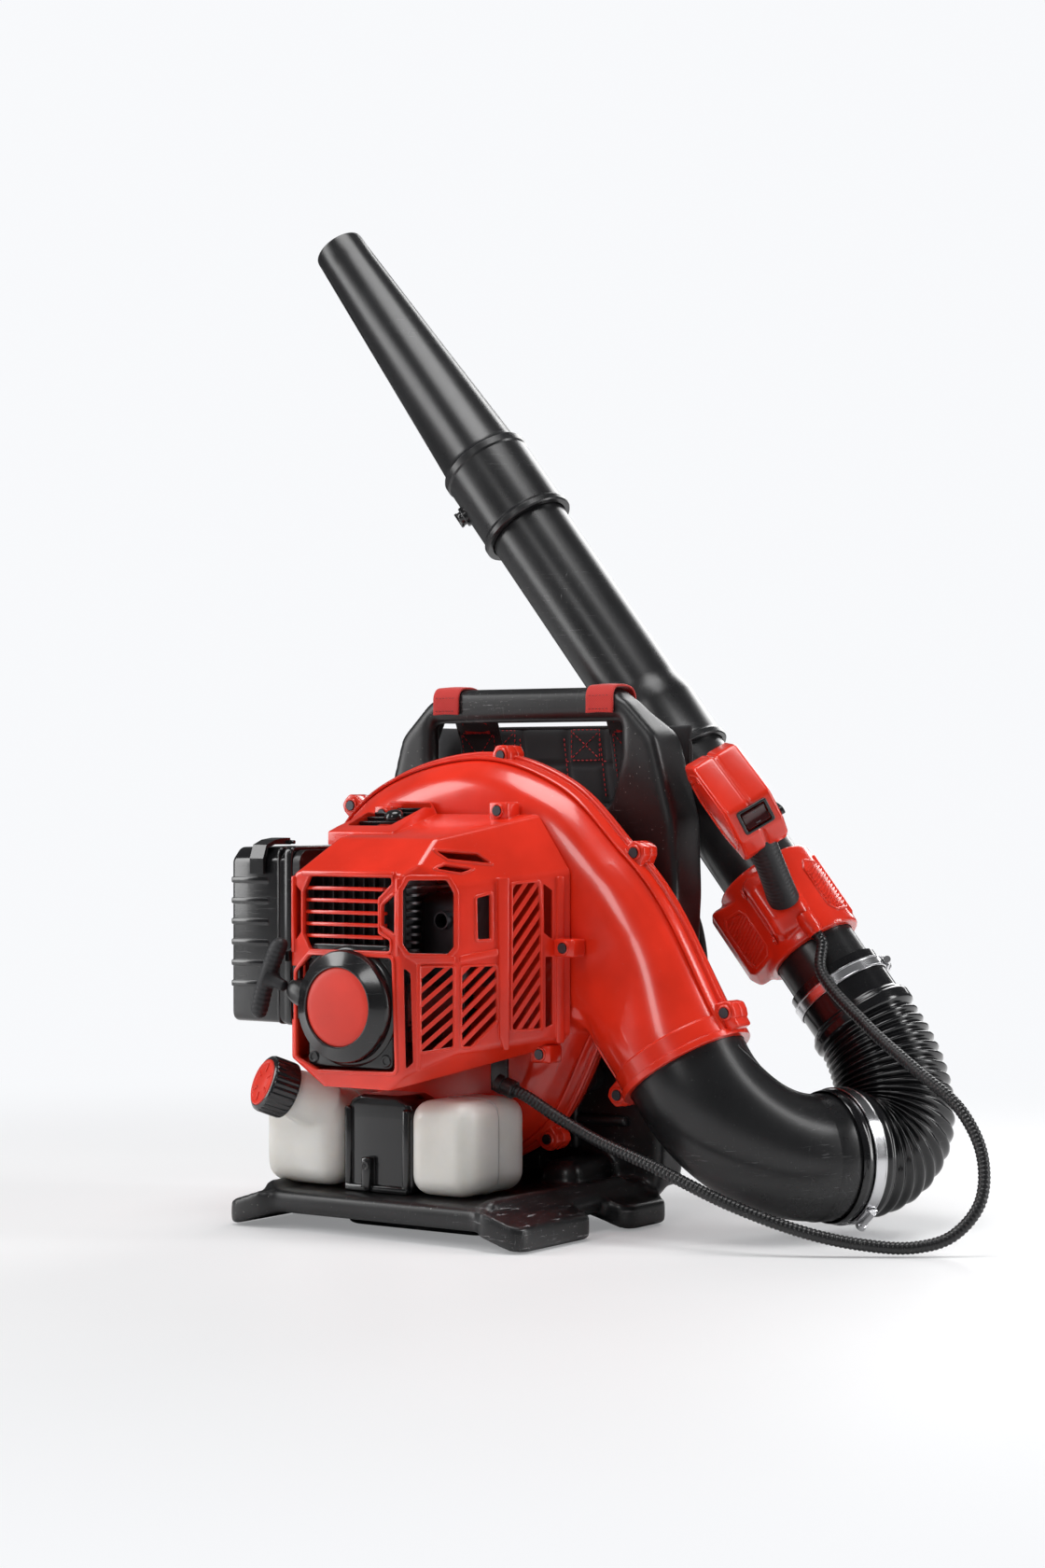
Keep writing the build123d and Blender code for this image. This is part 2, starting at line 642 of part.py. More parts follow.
with BuildPart() as starter_handle:
    rod(PULL.offset(25), 5.2, 18)
    with BuildSketch(PULL.offset(40)):
        SlotOverall(78, 16, rotation=90)
    extrude(amount=15)
    fillet(faces().sort_by(Axis(ROPE_GUIDE_C, ROPE_DIR))[-1].edges(), 5)
    rod(PULL.offset(20), 2.6, 6)
save(starter_handle, "starter_handle")

# ---- fuel tank ---------------------------------------------------------------------------
CAP_C = Vector(-109, -130, 130)
CAP_DIR = Vector(-0.46, -0.81, 0.356).normalized()
CAP_PLANE = Plane(origin=CAP_C, x_dir=Vector(0.81, -0.46, 0), z_dir=CAP_DIR)
TANK_Z0 = 38.0
TANK_WALL = 2.5
FUEL_LINE_Z = 124.4              # lower end of the fuel lines
# saddle outlines: X, Z
SADDLE_OUTSIDE = [(-55.5, 36.4), (-55.5, 104), (-48, 118), (-36, 123), (4, 123), (16, 118),
                  (21.5, 104), (21.5, 36.4)]
SADDLE_INSIDE = [(-50, 30), (-50, 102), (-44, 114), (-36, 118), (4, 118), (12, 114),
                 (17, 102), (17, 30)]

with BuildPart() as fuel_tank:
    # left and right lobes, joined by a bridge
    box(-143, -57, -104, -16, TANK_Z0, 124, 12)
    box(23, 90, -104, -8, TANK_Z0, 122, 12)
    fillet(edges().group_by(Axis.Z)[-1], 10)
    fillet(edges().group_by(Axis.Z)[0], 4)
    box(-70, 40, -40, -17, 44, 100, 4)
    # filler neck
    with BuildSketch(CAP_PLANE.offset(-52)):
        Circle(26)
    extrude(amount=32, taper=9)
    rod(CAP_PLANE.offset(-24), 18, 22)
    # clear of the fan housing
    with BuildSketch(on_axis(2)):
        Circle(163)
    extrude(amount=26, taper=-30, mode=CUT)
    # hollow
    box(-143 + TANK_WALL, -57 - TANK_WALL, -104 + TANK_WALL, -28, TANK_Z0 + TANK_WALL, 116,
        10, CUT)
    box(23 + TANK_WALL, 90 - TANK_WALL, -104 + TANK_WALL, -28, TANK_Z0 + TANK_WALL, 114,
        10, CUT)
    box(-75, 45, -36.5, -28, 47, 90, 3, CUT)
    rod(CAP_PLANE.offset(-56), 15, 70, CUT)
save(fuel_tank, "fuel_tank")

with BuildPart() as fuel_cap_seal:
    ring(CAP_PLANE.offset(-1.8), 18, 12, 1.6)
save(fuel_cap_seal, "fuel_cap_seal")

with BuildPart() as fuel_cap:
    rod(CAP_PLANE.offset(-18), 26, 28)
    fillet(edges().group_by(Axis(CAP_C, CAP_DIR))[-1], 3)
    with BuildSketch(CAP_PLANE.offset(-19)):                   # grip notches
        with PolarLocations(26, 12):
            Rectangle(2.5, 3)
    extrude(amount=25, mode=CUT)
    rod(CAP_PLANE.offset(-19), 18.6, 19.2, CUT)
    with BuildSketch(CAP_PLANE.offset(8.4)):                   # groove in the top
        Circle(20)
        Circle(18.8, mode=CUT)
    extrude(amount=4, mode=CUT)
save(fuel_cap, "fuel_cap")

with BuildPart() as tank_saddle:
    with BuildSketch(across(-46)):
        polygon(SADDLE_OUTSIDE)
    extrude(amount=46)
    slab(across(-92, -26, 52), 10, 31, 8)
    with BuildSketch(across(-40)):
        polygon(SADDLE_INSIDE)
    extrude(amount=48, mode=CUT)
save(tank_saddle, "tank_saddle")

with BuildPart() as fuel_lines:
    for x, y in ((-92, -40), (-98, -52)):
        with BuildLine() as route:
            Spline((x, y, FUEL_LINE_Z), (x - 1, y - 5, 165), (x + 1, y - 6, 205), (x, y, 239.6),
                   tangents=((0, 0, 1), (0, 0, 1)))
        with BuildSketch(level(FUEL_LINE_Z, x, y)):
            Circle(2.2)
        sweep(path=route.line)
save(fuel_lines, "fuel_lines")

# ---- back frame and isolators ------------------------------------------------------------
# left halves of the back plate's outlines, mirrored to the right: X, Z
PLATE_OUTSIDE = [(-150, 18), (-160, 120), (-169, 300), (-167, 366), (-145, 445), (-112, 478),
                 (-90, 488)]
PLATE_INSIDE = [(-138, 10), (-147, 120), (-156, 300), (-154, 360), (-132, 432), (-104, 462)]
CARRY_OPENING = [(-96, 380), (-108, 425), (-108, 456), (-104, 461)]
# right half of the base deck: X, Y
DECK = [(132, -124), (138, -10), (138, 60), (145, 132)]
# foot on the right, mirrored by its sign: X, Z
FOOT = [(118, 36), (138, 31), (163, 8), (163, 0), (146, 0), (124, 18), (112, 20)]
ISOLATORS = [(-105, 120), (80, 130), (-120, 290), (95, 290)]   # X, Z

with BuildPart() as back_frame:
    with BuildSketch(across(WING_Y)):
        polygon(with_mirror(PLATE_OUTSIDE))
    extrude(amount=WING_Y - FRAME_Y0)
    with BuildSketch(across(WING_Y + 1)):
        polygon(with_mirror(PLATE_INSIDE))
    extrude(amount=WING_Y - FRAME_Y1 + 1, mode=CUT)
    # top bar is slimmer than the wings
    slab(across(WING_Y + 1, 0, 470), 230, 40, 18, mode=CUT)
    # handle opening
    with BuildSketch(across(WING_Y + 1)):
        polygon(with_mirror(CARRY_OPENING))
    extrude(amount=80, mode=CUT)
    # base deck
    with BuildSketch(level(14)):
        polygon(with_mirror(DECK))
    extrude(amount=22)
    # belly pad
    slab(level(0), 150, 130, 14.5, 20)
    # feet
    for sign in (-1, 1):
        for y0, y1 in ((-130, -12), (40, 112)):
            with BuildSketch(across(y1)):
                polygon([(sign * x, z) for x, z in FOOT])
            extrude(amount=y1 - y0)
save(back_frame, "back_frame")

with BuildPart() as isolators:
    for x, z in ISOLATORS:
        rod(across(FRAME_Y0 - 0.2, x, z), 13, 12.6)
save(isolators, "isolators")

# ---- harness -----------------------------------------------------------------------------
STRAP_X = 88.0                   # straps at plus and minus this
STRAP_W = 50.0
STRAP_THICK = 11.0
LOOP_Y1 = 143.0                  # rear end of the strap loops, before their margin
# strap's near side, from the top down: Y, Z
STRAP = [(150, 474), (164, 440), (172, 395), (181, 350), (214, 308), (248, 262), (258, 210),
         (242, 150), (200, 104), (166, 80)]

with BuildPart() as back_pad:
    slab(across(150, 0, 230), 220, 250, 21.5, 40)
    fillet(faces().sort_by(Axis.Y)[-1].edges(), 8)
save(back_pad, "back_pad")

with BuildPart() as shoulder_straps:
    for x in (-STRAP_X, STRAP_X):
        with BuildSketch(side(x - STRAP_W / 2)):
            with BuildLine():
                near = Spline(*STRAP)
                steps = 2 * len(STRAP) - 2
                far_points = []
                for k in range(steps + 1):
                    point, along = near @ (k / steps), near % (k / steps)
                    far_points.append((point.X - along.Y * STRAP_THICK,
                                       point.Y + along.X * STRAP_THICK))
                far = Spline(*far_points)
                Line(near @ 0, far @ 0)
                Line(near @ 1, far @ 1)
            make_face()
        extrude(amount=STRAP_W)
save(shoulder_straps, "shoulder_straps")

with BuildPart() as strap_loops:
    for x in (-STRAP_X, STRAP_X):
        with BuildSketch(side(x - 15, (FRAME_Y0 + LOOP_Y1) / 2, 475)):
            Rectangle(LOOP_Y1 - FRAME_Y0 + 6, 32)
            Rectangle(LOOP_Y1 - FRAME_Y0 + 2, 28.4, mode=CUT)
        extrude(amount=30)
save(strap_loops, "strap_loops")

with BuildPart() as strap_buckles:
    for x in (-STRAP_X, STRAP_X):
        with BuildSketch(Plane(origin=(x, 158, 70), x_dir=(1, 0, 0), z_dir=(0, -0.5, -0.86))):
            RectangleRounded(44, 26, 3)
            with Locations((0, 6), (0, -6)):
                Rectangle(34, 5, mode=CUT)
        extrude(amount=4)
save(strap_buckles, "strap_buckles")

# ---- air path ----------------------------------------------------------------------------
# the handle's frame: u along the tube, v away from the tube, w sideways
HANDLE_OUT = Vector(0.471, -0.799, 0.375)
HANDLE_OUT = (HANDLE_OUT - TUBE_DIR * HANDLE_OUT.dot(TUBE_DIR)).normalized()
HANDLE_SIDE = TUBE_DIR.cross(HANDLE_OUT).normalized()

BEND_R = 108.0                   # bend radius of the elbow
START = Vector(*OUTLET_C)
# where the two legs' lines meet
KNEE = HOSE_LOW - HOSE_LOW_DIR * ((HOSE_LOW.Y - START.Y) / HOSE_LOW_DIR.Y)
LEG_DIR = (KNEE - START).normalized()
# from the knee to each end of the bend
BEND_LEG = BEND_R * math.tan(LEG_DIR.get_angle(HOSE_LOW_DIR) * math.pi / 360)

with BuildPart() as elbow:
    with BuildLine() as elbow_path:
        Line(START - LEG_DIR * 30, KNEE - LEG_DIR * BEND_LEG)
        TangentArc(KNEE - LEG_DIR * BEND_LEG, KNEE + HOSE_LOW_DIR * BEND_LEG, tangent=LEG_DIR)
        Line(KNEE + HOSE_LOW_DIR * BEND_LEG, HOSE_LOW + HOSE_LOW_DIR * 18)
    with BuildSketch(Plane(origin=START - LEG_DIR * 30, x_dir=(0, 1, 0), z_dir=LEG_DIR)):
        Circle(ELBOW_R)
        Circle(ELBOW_R - 3, mode=CUT)
    sweep(path=elbow_path.line)
save(elbow, "elbow")

HOSE_LOW_PLANE = Plane(origin=HOSE_LOW, x_dir=(0, 0, 1), z_dir=HOSE_LOW_DIR)
CLAMP_DIR = Vector(36.3, -16.8, -50).normalized()              # towards the clamp's screw

with BuildPart() as elbow_clamp:
    ring(HOSE_LOW_PLANE.offset(-2), 61.6, 60.2, 13)
    slab(Plane(origin=HOSE_LOW + HOSE_LOW_DIR * 4.5 + CLAMP_DIR * 60.6, x_dir=HOSE_LOW_DIR,
               z_dir=CLAMP_DIR), 11, 24, 8)
save(elbow_clamp, "elbow_clamp")

HOSE_R, HOSE_BORE_R = 47.0, 44.0
CURVE_START = HOSE_LOW + HOSE_LOW_DIR * 22       # where the hose leaves its lower cuff
CURVE_PLANE = Plane(origin=CURVE_START, x_dir=(0, 0, 1), z_dir=HOSE_LOW_DIR)

with BuildPart() as flex_hose:
    rod(HOSE_LOW_PLANE.offset(-14), 60, 36)                    # lower cuff
    with BuildLine() as hose_path:
        Bezier(CURVE_START, CURVE_START + HOSE_LOW_DIR * 52, HOSE_TOP - TUBE_DIR * 88,
               HOSE_TOP - TUBE_DIR * 8)
    with BuildSketch(CURVE_PLANE):
        Circle(HOSE_R)
    sweep(path=hose_path.line)
    rod(tube_plane(-10), 51, 18)                               # upper cuff
    rod(tube_plane(8), 45, 34)
    rod(tube_plane(6), TUBE_R + 0.4, 40, CUT)
    rod(HOSE_LOW_PLANE.offset(-15), ELBOW_R + 0.3, 34, CUT)
    rod(CURVE_PLANE.offset(-4), HOSE_BORE_R, 6, CUT)
    with BuildSketch(CURVE_PLANE):
        Circle(HOSE_BORE_R)
    sweep(path=hose_path.line, mode=CUT)
    rod(tube_plane(-12), 38, 20, CUT)
save(flex_hose, "flex_hose")

CUFF_CLAMP_R = 45.3              # bore of the cuff clamp

with BuildPart() as cuff_clamp:
    ring(tube_plane(20), 46.6, CUFF_CLAMP_R, 12)
    slab(Plane(origin=HOSE_TOP + TUBE_DIR * 26 + HANDLE_SIDE * 46, x_dir=TUBE_DIR,
               z_dir=HANDLE_SIDE), 11, 22, 8)
    rod(tube_plane(10), CUFF_CLAMP_R, 30, CUT)
save(cuff_clamp, "cuff_clamp")

with BuildPart() as swivel_tube:
    rod(tube_plane(8), TUBE_R, 322)
    rod(tube_plane(7), TUBE_R - TUBE_WALL, 330, CUT)
save(swivel_tube, "swivel_tube")

with BuildPart() as middle_tube:
    rod(tube_plane(296), TUBE_R + 3.5, 72)                     # socket
    rod(tube_plane(364), TUBE_R, 270)
    rod(tube_plane(295), TUBE_FIT_R, 60, CUT)
    rod(tube_plane(350), TUBE_R - TUBE_WALL, 300, CUT)
save(middle_tube, "middle_tube")

TIP_START = TUBE_END - 30        # where the nozzle's straight tip starts

with BuildPart() as nozzle:
    rod(tube_plane(589), TUBE_R + 4, 91)                       # socket
    with BuildSketch(tube_plane(676)):
        Circle(TUBE_R - 0.5)
    with BuildSketch(tube_plane(TIP_START)):
        Circle(TIP_R)
    loft()
    rod(tube_plane(TIP_START), TIP_R, 30)
    rod(tube_plane(588), TUBE_FIT_R, 58, CUT)
    with BuildSketch(tube_plane(645)):
        Circle(TUBE_R - 3)
    with BuildSketch(tube_plane(TIP_START)):
        Circle(TIP_R - TUBE_WALL)
    loft(mode=CUT)
    rod(tube_plane(TIP_START - 1), TIP_R - TUBE_WALL, 32, CUT)
save(nozzle, "nozzle")

# ---- control handle ----------------------------------------------------------------------
# Handle places and outlines are u, v in the handle's frame.
HANDLE_O = HOSE_TOP + TUBE_DIR * COLLAR_S
HANDLE_W = -6.0                  # the handle sits a little to one side of the tube


def handle_point(u, v, w=0.0):
    return HANDLE_O + TUBE_DIR * u + HANDLE_OUT * v + HANDLE_SIDE * (w + HANDLE_W)


def handle_plane(w, u=0.0, v=0.0):
    """Plane facing w: local x is u, local y is v."""
    return Plane(origin=handle_point(u, v, w), x_dir=TUBE_DIR, z_dir=HANDLE_SIDE)


def conduit_plane(u):
    """Plane across the conduit's socket, facing back towards the hose."""
    return Plane(origin=handle_point(u, 50, 6), x_dir=HANDLE_SIDE, z_dir=-TUBE_DIR)


COLLAR_BLOCK = [(-42, -20), (-34, 26), (26, 30), (40, -10), (20, -22)]
COLLAR_NECK = [(-38, 30), (-30, 50), (-14, 58), (22, 58), (36, 46), (36, 30)]

with BuildPart() as handle_collar:
    rod(tube_plane(COLLAR_S - 44), TUBE_R + 8, 88)
    with BuildSketch(handle_plane(-52)):
        polygon(COLLAR_BLOCK)
    extrude(amount=112)
    with BuildSketch(handle_plane(-21)):
        polygon(COLLAR_NECK)
    extrude(amount=42)
    rod(conduit_plane(-24), 8.5, 22)
    rod(tube_plane(COLLAR_S - 70), TUBE_FIT_R, 140, CUT)
    rod(conduit_plane(-34), 5.9, 30, CUT)
save(handle_collar, "handle_collar")

GRIP_FOOT = (-2.0, 58.2)
GRIP_TOP = (48.0, 118.0)         # inside the control head
GRIP_DIR = (TUBE_DIR * (GRIP_TOP[0] - GRIP_FOOT[0])
            + HANDLE_OUT * (GRIP_TOP[1] - GRIP_FOOT[1])).normalized()
GRIP_X = (TUBE_DIR - GRIP_DIR * TUBE_DIR.dot(GRIP_DIR)).normalized()


def grip_plane(distance):
    """Plane across the grip, at a distance from its foot."""
    return Plane(origin=handle_point(*GRIP_FOOT) + GRIP_DIR * distance, x_dir=GRIP_X,
                 z_dir=GRIP_DIR)


with BuildPart() as handle_grip:
    with BuildSketch(grip_plane(-20)):
        Ellipse(18, 17)
    with BuildSketch(grip_plane(30)):
        Ellipse(17.5, 14.5)
    with BuildSketch(grip_plane(64)):
        Ellipse(18.5, 15)
    loft()
    add(handle_collar.part, mode=CUT)
    slab(handle_plane(-40, 0, 28), 160, 60, 80, mode=CUT)      # flat foot
save(handle_grip, "handle_grip")

SWITCH_C = handle_point(48, 151)
SWITCH_DIR = (TUBE_DIR * -0.6 + HANDLE_OUT * 0.8).normalized()
TRIGGER_PIVOT = (103.0, 106.0)
CRUISE_PIVOT = (60.0, 122.0)
HEAD = [(30, 108), (62, 92), (112, 88), (130, 100), (134, 122), (118, 150), (60, 160),
        (36, 142), (28, 124)]
TRIGGER_SLOT = [(74, 80), (122, 80), (122, 104), (112, 118), (92, 118), (74, 104)]
TRIGGER = [(96, 112), (110, 112), (110, 94), (105, 72), (96, 60), (86, 58), (84, 62),
           (91, 72), (93, 90)]
# rocker's profile, in its own sketch plane
ROCKER = [(-9.2, -5), (-8.8, 0.6), (0, -0.8), (8.8, 0.6), (9.2, -5), (0, -6.5)]


def switch_pin_plane(w):
    """Plane across the stop switch's pin, w sideways from its middle."""
    return Plane(origin=SWITCH_C - SWITCH_DIR * 3 + HANDLE_SIDE * w, x_dir=TUBE_DIR,
                 z_dir=HANDLE_SIDE)


with BuildPart() as control_head:
    with BuildSketch(handle_plane(-23)):
        polygon(HEAD)
    extrude(amount=46)
    fillet(edges().filter_by(Axis(HANDLE_O, HANDLE_SIDE)), 4)
    # pocket and pin hole for the stop switch
    slab(Plane(origin=SWITCH_C, x_dir=HANDLE_SIDE, z_dir=SWITCH_DIR), 16, 19.6, -9, mode=CUT)
    rod(switch_pin_plane(-11), 1.55, 22, CUT)
    # slot for the trigger
    with BuildSketch(handle_plane(-6)):
        polygon(TRIGGER_SLOT)
    extrude(amount=12, mode=CUT)
    rod(handle_plane(-24, *TRIGGER_PIVOT), 2.05, 48, CUT)
    rod(handle_plane(15, *CRUISE_PIVOT), 3.05, 10, CUT)
    add(handle_grip.part, mode=CUT)
save(control_head, "control_head")

with BuildPart() as trigger:
    with BuildSketch(handle_plane(-5.7)):
        polygon(TRIGGER)
    extrude(amount=11.4)
    rod(handle_plane(-22, *TRIGGER_PIVOT), 2.0, 44)
save(trigger, "trigger")

with BuildPart() as cruise_lever:
    with BuildSketch(handle_plane(23.05, *CRUISE_PIVOT)):
        Circle(10)
        with Locations(Location((-9, 10), -48)):
            SlotOverall(26, 8)
    extrude(amount=4)
    rod(handle_plane(16, *CRUISE_PIVOT), 3.0, 8)
save(cruise_lever, "cruise_lever")

with BuildPart() as stop_switch:
    with BuildSketch(Plane(origin=SWITCH_C - HANDLE_SIDE * 7.7,
                           x_dir=SWITCH_DIR.cross(HANDLE_SIDE), z_dir=HANDLE_SIDE)):
        polygon(ROCKER)
    extrude(amount=15.4)
    rod(switch_pin_plane(-10), 1.5, 20)
save(stop_switch, "stop_switch")

# route of the throttle conduit from the handle to the engine: X, Y, Z
CONDUIT = [
    (283, 176, 230.9), (345, 150, 184.7), (400.9, 132, 151.7), (452.2, 120, 119.2),
    (477.6, 110, 81.9), (482.4, 95, 44.2), (464.7, 78, 17), (439.8, 56, 7.6),
    (401.5, 30, 11), (361.5, 5, 21.1), (300.6, -16, 42.3), (231, -25, 70.1),
    (175, -28, 89.2), (137, -30, 106), (100, -30, 124), (78, -31, 132),
]
CONDUIT_START = handle_point(-44.5, 50, 6)

with BuildPart() as throttle_conduit:
    with BuildLine() as conduit_path:
        Spline(CONDUIT_START, CONDUIT_START - TUBE_DIR * 10, *CONDUIT)
    with BuildSketch(Plane(origin=conduit_path.line @ 0, z_dir=conduit_path.line % 0)):
        Circle(5.5)
    sweep(path=conduit_path.line)
save(throttle_conduit, "throttle_conduit")
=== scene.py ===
# A backpack blower standing on Z = 0. The engine and its red cover face -Y, the back pad and
# shoulder straps face +Y. The fan turns about a Y axis; the scroll's outlet leaves towards +X
# and down, an elbow and a ribbed hose bring the air round to +Y, and a straight tube with the
# control handle rises from there towards -X. Sizes are in mm, turned to metres by MM.
import math
import random
from contextlib import contextmanager

import bmesh
import bpy
import numpy as np
from mathutils import Matrix, Vector


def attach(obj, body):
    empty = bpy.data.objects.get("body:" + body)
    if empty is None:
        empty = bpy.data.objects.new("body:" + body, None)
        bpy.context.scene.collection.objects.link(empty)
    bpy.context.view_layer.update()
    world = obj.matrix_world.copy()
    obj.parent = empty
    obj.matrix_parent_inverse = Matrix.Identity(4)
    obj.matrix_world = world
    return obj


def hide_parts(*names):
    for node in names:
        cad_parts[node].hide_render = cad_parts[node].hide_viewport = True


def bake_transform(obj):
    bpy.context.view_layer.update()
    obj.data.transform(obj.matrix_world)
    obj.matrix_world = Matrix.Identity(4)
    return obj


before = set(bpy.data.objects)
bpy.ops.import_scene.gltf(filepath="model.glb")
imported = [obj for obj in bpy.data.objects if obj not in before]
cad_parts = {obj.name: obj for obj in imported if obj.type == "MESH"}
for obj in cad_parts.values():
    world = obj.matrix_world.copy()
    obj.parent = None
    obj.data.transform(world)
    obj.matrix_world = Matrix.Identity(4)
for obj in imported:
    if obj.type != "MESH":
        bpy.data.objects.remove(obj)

for name in ("Cube", "Light", "Camera"):
    if name in bpy.data.objects:
        bpy.data.objects.remove(bpy.data.objects[name])
bpy.context.view_layer.update()
random.seed(5)


def unit(v):
    v = np.array(v, float)
    return v / np.linalg.norm(v)


# ---- driving dimensions
MM = 0.001
TO_FRONT = (0, -1, 0)
FAN_X, FAN_Z = -22.0, 204.0                 # fan axis
FAN = np.array([FAN_X, FAN_Z])
FAN_AXIS = np.array([FAN_X, 0.0, FAN_Z])
SPLIT_Y = 50.0                              # plane where the two scroll halves meet
OUTLET = np.array([217.0, SPLIT_Y, 152.0])  # centre of the scroll's mouth
OUTLET_DIR = unit((0.545, 0.0, -0.8384))
OUTLET_ACROSS = np.array([0.8384, 0.0, 0.545])
TUBE = np.array([290.0, 230.0, 190.0])      # start of the straight tube
TUBE_DIR = unit((-0.6228, 0.0, 0.7824))
ELBOW_END = np.array([316.0, 146.0, 68.0])
ELBOW_DIR = unit((0.42, 0.9075, 0.0))
HANDLE = TUBE + TUBE_DIR * 115.0
HANDLE_OUT = np.array([0.471, -0.799, 0.375])
HANDLE_OUT = unit(HANDLE_OUT - TUBE_DIR * (HANDLE_OUT @ TUBE_DIR))
HANDLE_SIDE = np.cross(TUBE_DIR, HANDLE_OUT)
STRAP_X = 88                                # shoulder straps at X = -88 and 88


def on_handle(u, v, w=0.0):
    """A point on the control handle: along the tube, away from it, sideways."""
    return HANDLE + TUBE_DIR * u + HANDLE_OUT * v + HANDLE_SIDE * (w - 6.0)


# ---- curves and outlines
def tangents(pts):
    tan = np.gradient(pts, axis=0)
    return tan / np.linalg.norm(tan, axis=1)[:, None]


def arc_length(pts):
    """Distance along the points, from 0."""
    steps = np.linalg.norm(np.diff(pts, axis=0), axis=1)
    return np.concatenate([[0], np.cumsum(steps)])


def interp_at(where, dist, pts):
    return np.stack([np.interp(where, dist, pts[:, i]) for i in range(pts.shape[1])], 1)


def resample(pts, step):
    dist = arc_length(pts)
    count = max(int(round(dist[-1] / step)), 2)
    return interp_at(np.linspace(0, dist[-1], count + 1), dist, pts)


def bezier(controls, count):
    controls = [np.array(q, float) for q in controls]
    t = np.linspace(0, 1, count)[:, None]
    last = len(controls) - 1
    return sum(math.comb(last, i) * (1 - t) ** (last - i) * t ** i * q
               for i, q in enumerate(controls))


def catmull(points, step):
    """Smooth curve through points, resampled evenly by length."""
    pts = np.array(points, float)
    pts = np.vstack([2 * pts[0] - pts[1], pts, 2 * pts[-1] - pts[-2]])
    out = []
    for p0, p1, p2, p3 in zip(pts, pts[1:], pts[2:], pts[3:]):
        d1, d2, d3 = (max(np.linalg.norm(b - a), 1e-6) ** 0.5
                      for a, b in ((p0, p1), (p1, p2), (p2, p3)))
        leave = ((p2 - p1) / d2 - (p2 - p0) / (d1 + d2) + (p1 - p0) / d1) * d2
        arrive = ((p3 - p2) / d3 - (p3 - p1) / (d2 + d3) + (p2 - p1) / d2) * d2
        for t in np.linspace(0, 1, 60, endpoint=False):
            out.append((2 * t ** 3 - 3 * t ** 2 + 1) * p1 + (t ** 3 - 2 * t ** 2 + t) * leave
                       + (-2 * t ** 3 + 3 * t ** 2) * p2 + (t ** 3 - t ** 2) * arrive)
    out.append(pts[-2])
    return resample(np.array(out), step)


def fillet_poly(pts, radius, seg=5):
    """Rounds the corners of a closed 2D polygon."""
    pts = [np.array(p, float) for p in pts]
    out = []
    for i, corner in enumerate(pts):
        u, v = pts[i - 1] - corner, pts[(i + 1) % len(pts)] - corner
        len_u, len_v = np.linalg.norm(u), np.linalg.norm(v)
        u, v = u / len_u, v / len_v
        angle = math.acos(max(-1, min(1, float(u @ v))))
        if angle > math.radians(176):
            out.append(corner)
            continue
        cut = min(radius / math.tan(angle / 2), len_u * 0.48, len_v * 0.48)
        start, end = corner + u * cut, corner + v * cut
        for k in range(seg + 1):
            t = k / seg
            out.append((1 - t) ** 2 * start + 2 * t * (1 - t) * corner + t ** 2 * end)
    return out


def scaled(pts, centre, factor):
    centre = np.array(centre)
    return [centre + (np.array(p) - centre) * factor for p in pts]


def ccw(pts):
    area2 = sum(p[0] * q[1] - q[0] * p[1] for p, q in zip(pts, list(pts[1:]) + [pts[0]]))
    return pts if area2 > 0 else pts[::-1]


def grow(pts, distance):
    """Outward offset of a convex polygon."""
    pts = ccw([np.array(p, float) for p in pts])
    lines = []
    for a, b in zip(pts, pts[1:] + pts[:1]):
        along = unit(b - a)
        lines.append((a + np.array([along[1], -along[0]]) * distance, along))
    out = []
    for i, (b, u) in enumerate(lines):
        a, t = lines[i - 1]
        turn = t[0] * u[1] - t[1] * u[0]
        if abs(turn) < 1e-6:
            out.append(b)
            continue
        gap = b - a
        out.append(a + t * ((gap[0] * u[1] - gap[1] * u[0]) / turn))
    return out


def clip(pts, normal, limit):
    """Keeps the part of a polygon with normal . p <= limit."""
    out = []
    for i, b in enumerate(pts):
        a = pts[i - 1]
        over_a, over_b = a @ normal - limit, b @ normal - limit
        if (over_a <= 0) != (over_b <= 0):
            out.append(a + (b - a) * (over_a / (over_a - over_b)))
        if over_b <= 0:
            out.append(b)
    return out


def stripes(pts, degrees, pitch, width):
    """Slanting strips of a polygon, leaving out slivers under 12 mm2."""
    angle = math.radians(degrees)
    normal = np.array([-math.sin(angle), math.cos(angle)])
    levels = [p @ normal for p in pts]
    out = []
    level = min(levels) + pitch * 0.35
    while level < max(levels):
        q = clip(clip(pts, normal, level + width / 2), -normal, -(level - width / 2))
        if len(q) >= 3:
            area2 = sum(a[0] * b[1] - b[0] * a[1] for a, b in zip(q, q[1:] + [q[0]]))
            if abs(area2) / 2 > 12:
                out.append(q)
        level += pitch
    return out


def smooth01(t):
    t = max(0.0, min(1.0, t))
    return t * t * (3 - 2 * t)


def around(x, y, angle):
    return x * math.cos(angle) + y * math.sin(angle)


def squircle(angle, power):
    """A point of the superellipse of half width 1."""
    c, s = math.cos(angle), math.sin(angle)
    reach = (abs(c) ** power + abs(s) ** power) ** (-1 / power)
    return c * reach, s * reach


# ---- placing
def basis(axis, ref=None):
    z = unit(axis)
    ref = np.array([0.0, 0, 1]) if ref is None else np.array(ref, float)
    if abs(ref @ z) > 0.95:
        ref = np.array([1.0, 0, 0])
    x = unit(ref - z * (ref @ z))
    return x, np.cross(z, x), z


def matrix_of(origin, x, y, z):
    """Axes x, y, z at an origin in mm."""
    rows = [[float(x[i]), float(y[i]), float(z[i]), float(origin[i]) * MM] for i in range(3)]
    return Matrix((*rows, (0, 0, 0, 1)))


def on_xz(y):
    """Plates drawn in X, Z at this y."""
    return matrix_of((0, y, 0), (1, 0, 0), (0, 0, 1), (0, -1, 0))


def on_yz(x):
    return matrix_of((x, 0, 0), (0, 1, 0), (0, 0, 1), (1, 0, 0))


